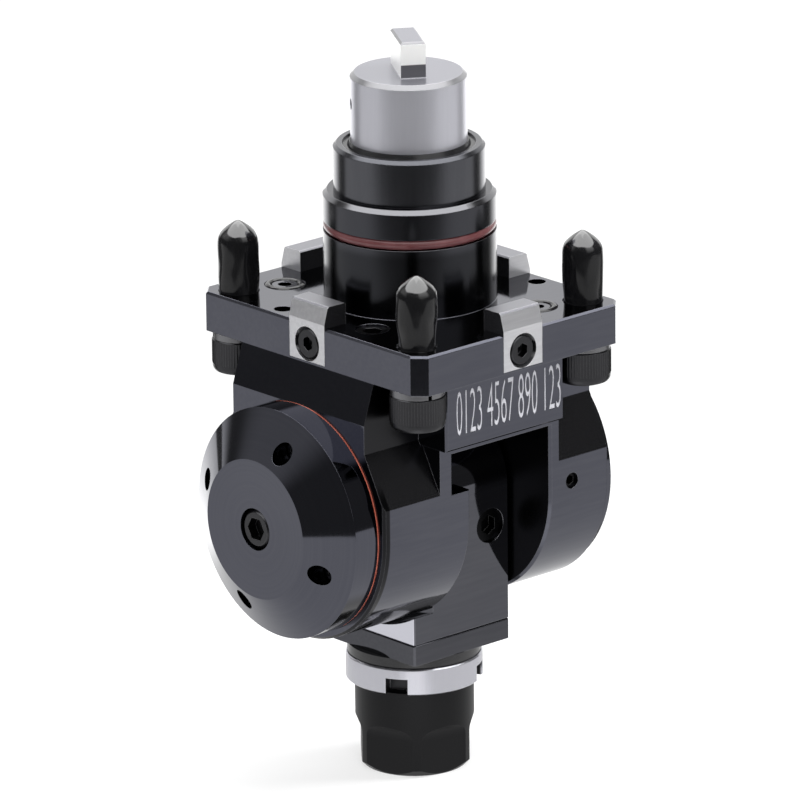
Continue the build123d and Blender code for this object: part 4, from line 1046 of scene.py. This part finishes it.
@dataclass
class PadNumbers:
    """Plain row of numbers, thinly raised in light metal, on the pad's right face."""

    row: str = "0123 4567 890 123"
    thin: float = -0.014
    typed_depth: float = 0.02
    curve_steps: int = 3
    merge: float = 1e-5
    face: float = 32.0
    low: float = -23.4
    high: float = -12.8
    start: float = -15.2
    end: float = 17.2
    relief: float = 0.03

    def typed(self) -> bmesh.types.BMesh:
        """The row as typed, flat on the XY plane.

        Returns:
            Its mesh.
        """
        font = bpy.data.curves.new("pad_numbers", "FONT")
        font.body = self.row
        font.extrude = self.typed_depth
        font.offset = self.thin
        font.resolution_u = self.curve_steps
        text = bpy.data.objects.new("pad_numbers_text", font)
        bpy.context.scene.collection.objects.link(text)
        graph = bpy.context.evaluated_depsgraph_get()
        flat = bpy.data.meshes.new_from_object(text.evaluated_get(graph))
        bpy.data.objects.remove(text)
        made = bmesh.new()
        made.from_mesh(flat)
        bpy.data.meshes.remove(flat)
        bmesh.ops.remove_doubles(made, verts=made.verts, dist=self.merge)
        return made

    def make(self) -> bpy.types.Object:
        """Fit the row to its place on the pad.

        Returns:
            The piece.
        """
        made = self.typed()
        xs = [vert.co.x for vert in made.verts]
        ys = [vert.co.y for vert in made.verts]
        wide = (self.end - self.start) * MM / (max(xs) - min(xs))
        tall = (self.high - self.low) * MM / (max(ys) - min(ys))
        bmesh.ops.translate(made, vec=(-min(xs), -min(ys), 0.0), verts=made.verts)
        bmesh.ops.scale(made, vec=(wide, tall, self.relief * MM / self.typed_depth),
                        verts=made.verts)
        upright = Matrix(((0, 0, 1, self.face * MM), (1, 0, 0, self.start * MM),
                          (0, 1, 0, self.low * MM), (0, 0, 0, 1)))
        bmesh.ops.transform(made, matrix=upright, verts=made.verts)
        return piece("pad_numbers", [made], Finish.ENGRAVING, "housing")


@dataclass
class Viewpoint:
    """Camera fitted to the photograph."""

    azimuth: float = 47.96229
    pitch: float = 17.69364
    distance: float = 2139.44178 * MM
    focal_px: float = 9260.45222
    roll: float = -0.59968
    side: float = -2.67364 * MM
    height: float = -25.32126 * MM
    width_px: float = 800.0
    sensor: float = 36.0
    nearest: float = 0.05
    farthest: float = 50.0

    def make(self) -> bpy.types.Object:
        """Create the camera.

        Returns:
            The camera object.
        """
        a, e, r = (math.radians(v) for v in (self.azimuth, self.pitch, self.roll))
        back = Vector((math.sin(a) * math.cos(e), -math.cos(a) * math.cos(e), math.sin(e)))
        right = Vector((math.cos(a), math.sin(a), 0.0))
        up = back.cross(right)
        place = Vector((0.0, 0.0, self.height)) + right * self.side + back * self.distance
        across = right * math.cos(r) + up * math.sin(r)
        above = up * math.cos(r) - right * math.sin(r)
        data = bpy.data.cameras.new("camera")
        data.sensor_width = self.sensor
        data.lens = self.focal_px * self.sensor / self.width_px
        data.clip_start, data.clip_end = self.nearest, self.farthest
        camera = bpy.data.objects.new("camera", data)
        camera.matrix_world = Matrix((
            (across.x, above.x, back.x, place.x), (across.y, above.y, back.y, place.y),
            (across.z, above.z, back.z, place.z), (0.0, 0.0, 0.0, 1.0)))
        bpy.context.scene.collection.objects.link(camera)
        bpy.context.scene.camera = camera
        return camera


@dataclass(frozen=True)
class Panel:
    """Soft panel that polished metal sees, standing at an azimuth from the open front."""

    azimuth: float
    half: float
    soft: float
    lower_edge: Ramp
    level: float

    def seen(self, ahead: Value, right: Value, height: Value) -> Value:
        """The panel's light in one direction.

        Args:
            ahead: Cosine of the direction's azimuth.
            right: Its sine, positive to the right.
            height: The direction's Z.

        Returns:
            The level on the panel and 0 beside it.
        """
        a = math.radians(self.azimuth)
        near = ahead * math.cos(a) + right * math.sin(a)
        edges = math.cos(math.radians(self.half + self.soft)), math.cos(math.radians(self.half))
        return near.step(edges) * height.step(self.lower_edge) * self.level


@dataclass(frozen=True)
class Lamp:
    """Soft square lamp that polished metal doesn't mirror."""

    name: str
    place: Point
    size: float
    watts: float

    def make(self, target: Vector) -> None:
        """Add the lamp.

        Args:
            target: What it points at.
        """
        data = bpy.data.lights.new(self.name, "AREA")
        data.shape = "SQUARE"
        data.size = self.size
        data.energy = self.watts
        lamp = bpy.data.objects.new(self.name, data)
        lamp.visible_glossy = False
        lamp.location = Vector(self.place)
        lamp.rotation_mode = "QUATERNION"
        lamp.rotation_quaternion = (target - lamp.location).to_track_quat("-Z", "Y")
        bpy.context.scene.collection.objects.link(lamp)


LAMPS = (Lamp("lamp_right", (0.5, 0.85, 0.6), 0.5, 16.0),
         Lamp("lamp_left", (-0.7, -0.75, 0.55), 0.5, 5.5),
         Lamp("lamp_front", (0.85, -0.7, 0.5), 0.6, 9.0),
         Lamp("lamp_top", (-0.1, 0.15, 1.1), 0.7, 10.0))


@dataclass
class Studio:
    """White sheet on a table, an open dark room in front, soft panels above and at the sides."""

    floor_z: float = -113.3 * MM
    floor_size: float = 12.0
    open_azimuth: float = 48.0
    axis_guard: float = 0.0001
    room: float = 0.1
    ambient: float = 0.62
    wall_edge: Ramp = (-0.62, -0.74)
    wall_level: float = 1.1
    top_edge: Ramp = (0.63, 0.7)
    top_level: float = 2.9
    left_panel: Panel = Panel(-88.0, 14.0, 26.0, (0.1, 0.3), 0.34)
    right_panel: Panel = Panel(42.0, 20.0, 16.0, (0.06, 0.22), 1.0)
    sheet_front: Ramp = (0.35, 0.35 - 0.015)
    sheet_side: Ramp = (0.8, 0.8 - 0.1)
    sheet_level: float = 0.84
    flag_behind: Span = (-0.74, -0.62, -0.42, -0.33)
    flag_far: Ramp = (0.1, 0.14)
    behind_edge: Ramp = (-0.66, -0.88)
    behind_far: Ramp = (0.11, 0.18)
    behind_level: float = 1.1
    strip_ahead: Span = (0.03, 0.06, 0.12, 0.18)
    strip_side: Ramp = (0.04, 0.012)
    strip_level: float = 0.6
    paper: Colour = (0.82, 0.82, 0.82)
    paper_glow: float = 1.06
    shadow_share: float = 0.48
    shadow_fade: float = 0.43
    shadow_far: Ramp = (0.05, 0.3)
    centre_z: float = -0.02

    def toward(self) -> tuple[float, float]:
        """Unit direction of the open front in X and Y."""
        a = math.radians(self.open_azimuth)
        return math.sin(a), -math.cos(a)

    def world(self) -> None:
        """White background; polished metal sees the dark room, the panels and the wall behind."""
        world = bpy.data.worlds.new("studio")
        world.use_nodes = True
        bpy.context.scene.world = world
        graph = Graph(world.node_tree)
        x, y, z = graph.parts(graph.node("ShaderNodeTexCoord", output="Generated"))
        tx, ty = self.toward()
        flat = (x.squared() + y.squared() + self.axis_guard).root()
        ahead = (x * tx + y * ty) / flat
        right = (y * tx - x * ty) / flat
        top = z.step(self.top_edge)
        sides = self.left_panel.seen(ahead, right, z) + self.right_panel.seen(ahead, right, z)
        seen = (self.room + ahead.step(self.wall_edge) * self.wall_level + top * self.top_level
                + (1.0 - top) * sides)
        glossy, plain = graph.rays()
        level = glossy * seen + (1.0 - glossy) * (plain + (1.0 - plain) * self.ambient)
        surface = graph.node("ShaderNodeBackground", {}, {
            "Color": (1.0, 1.0, 1.0, 1.0), "Strength": level})
        graph.shader("ShaderNodeOutputWorld", surface)

    def paper_material(self) -> bpy.types.Material:
        """White paper that keeps the shadow, with its own tones for polished metal.

        Returns:
            The new material.
        """
        material, graph = blank_material("white_sheet")
        place = graph.place()
        tx, ty = self.toward()
        ahead = place.x * tx + place.y * ty
        sideways = (place.x * ty - place.y * tx).size()
        far = (place.x.squared() + place.y.squared() + self.axis_guard).root()
        course = ahead / far
        flags = course.window(self.flag_behind) * far.step(self.flag_far)
        sheet = ahead.step(self.sheet_front) * sideways.step(self.sheet_side) * (1.0 - flags)
        behind = course.step(self.behind_edge) * far.step(self.behind_far)
        strip = ahead.window(self.strip_ahead) * sideways.step(self.strip_side)
        lit = self.sheet_level + behind * self.behind_level + strip * self.strip_level
        glossy, plain = graph.rays()
        paper = graph.node("ShaderNodeBsdfDiffuse", {}, {"Color": (*self.paper, 1.0)})
        glow = graph.node("ShaderNodeEmission", {}, {
            "Strength": plain * self.paper_glow + glossy * (self.room + sheet * lit)})
        fade = self.shadow_share + self.shadow_fade * far.step(self.shadow_far)
        surface = graph.node("ShaderNodeMixShader", {}, {
            0: plain * fade + glossy, 1: paper, 2: glow})
        graph.shader("ShaderNodeOutputMaterial", surface)
        return material

    def floor(self) -> bpy.types.Object:
        """Floor that shows white and keeps the soft shadow.

        Returns:
            The floor object.
        """
        made = bmesh.new()
        bmesh.ops.create_grid(made, x_segments=1, y_segments=1, size=self.floor_size)
        bmesh.ops.translate(made, vec=(0.0, 0.0, self.floor_z), verts=made.verts)
        mesh = bpy.data.meshes.new("floor")
        made.to_mesh(mesh)
        made.free()
        mesh.materials.append(self.paper_material())
        floor = bpy.data.objects.new("floor", mesh)
        bpy.context.scene.collection.objects.link(floor)
        return floor

    def make(self) -> None:
        """Build the whole studio."""
        self.world()
        self.floor()
        centre = Vector((0.0, 0.0, self.centre_z))
        for lamp in LAMPS:
            lamp.make(centre)
        bpy.context.scene.view_settings.view_transform = "Standard"


def main() -> None:
    """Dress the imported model, add its fine pieces, and set up the studio and camera."""
    logging.basicConfig(level=logging.INFO, format="%(name)s: %(message)s")
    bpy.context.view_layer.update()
    Viewpoint().make()
    dress_nodes()
    FlangeBolts().make()
    BoltCaps().make()
    PadNumbers().make()
    Studio().make()
    LOG.info("done")


if __name__ == "__main__":
    main()
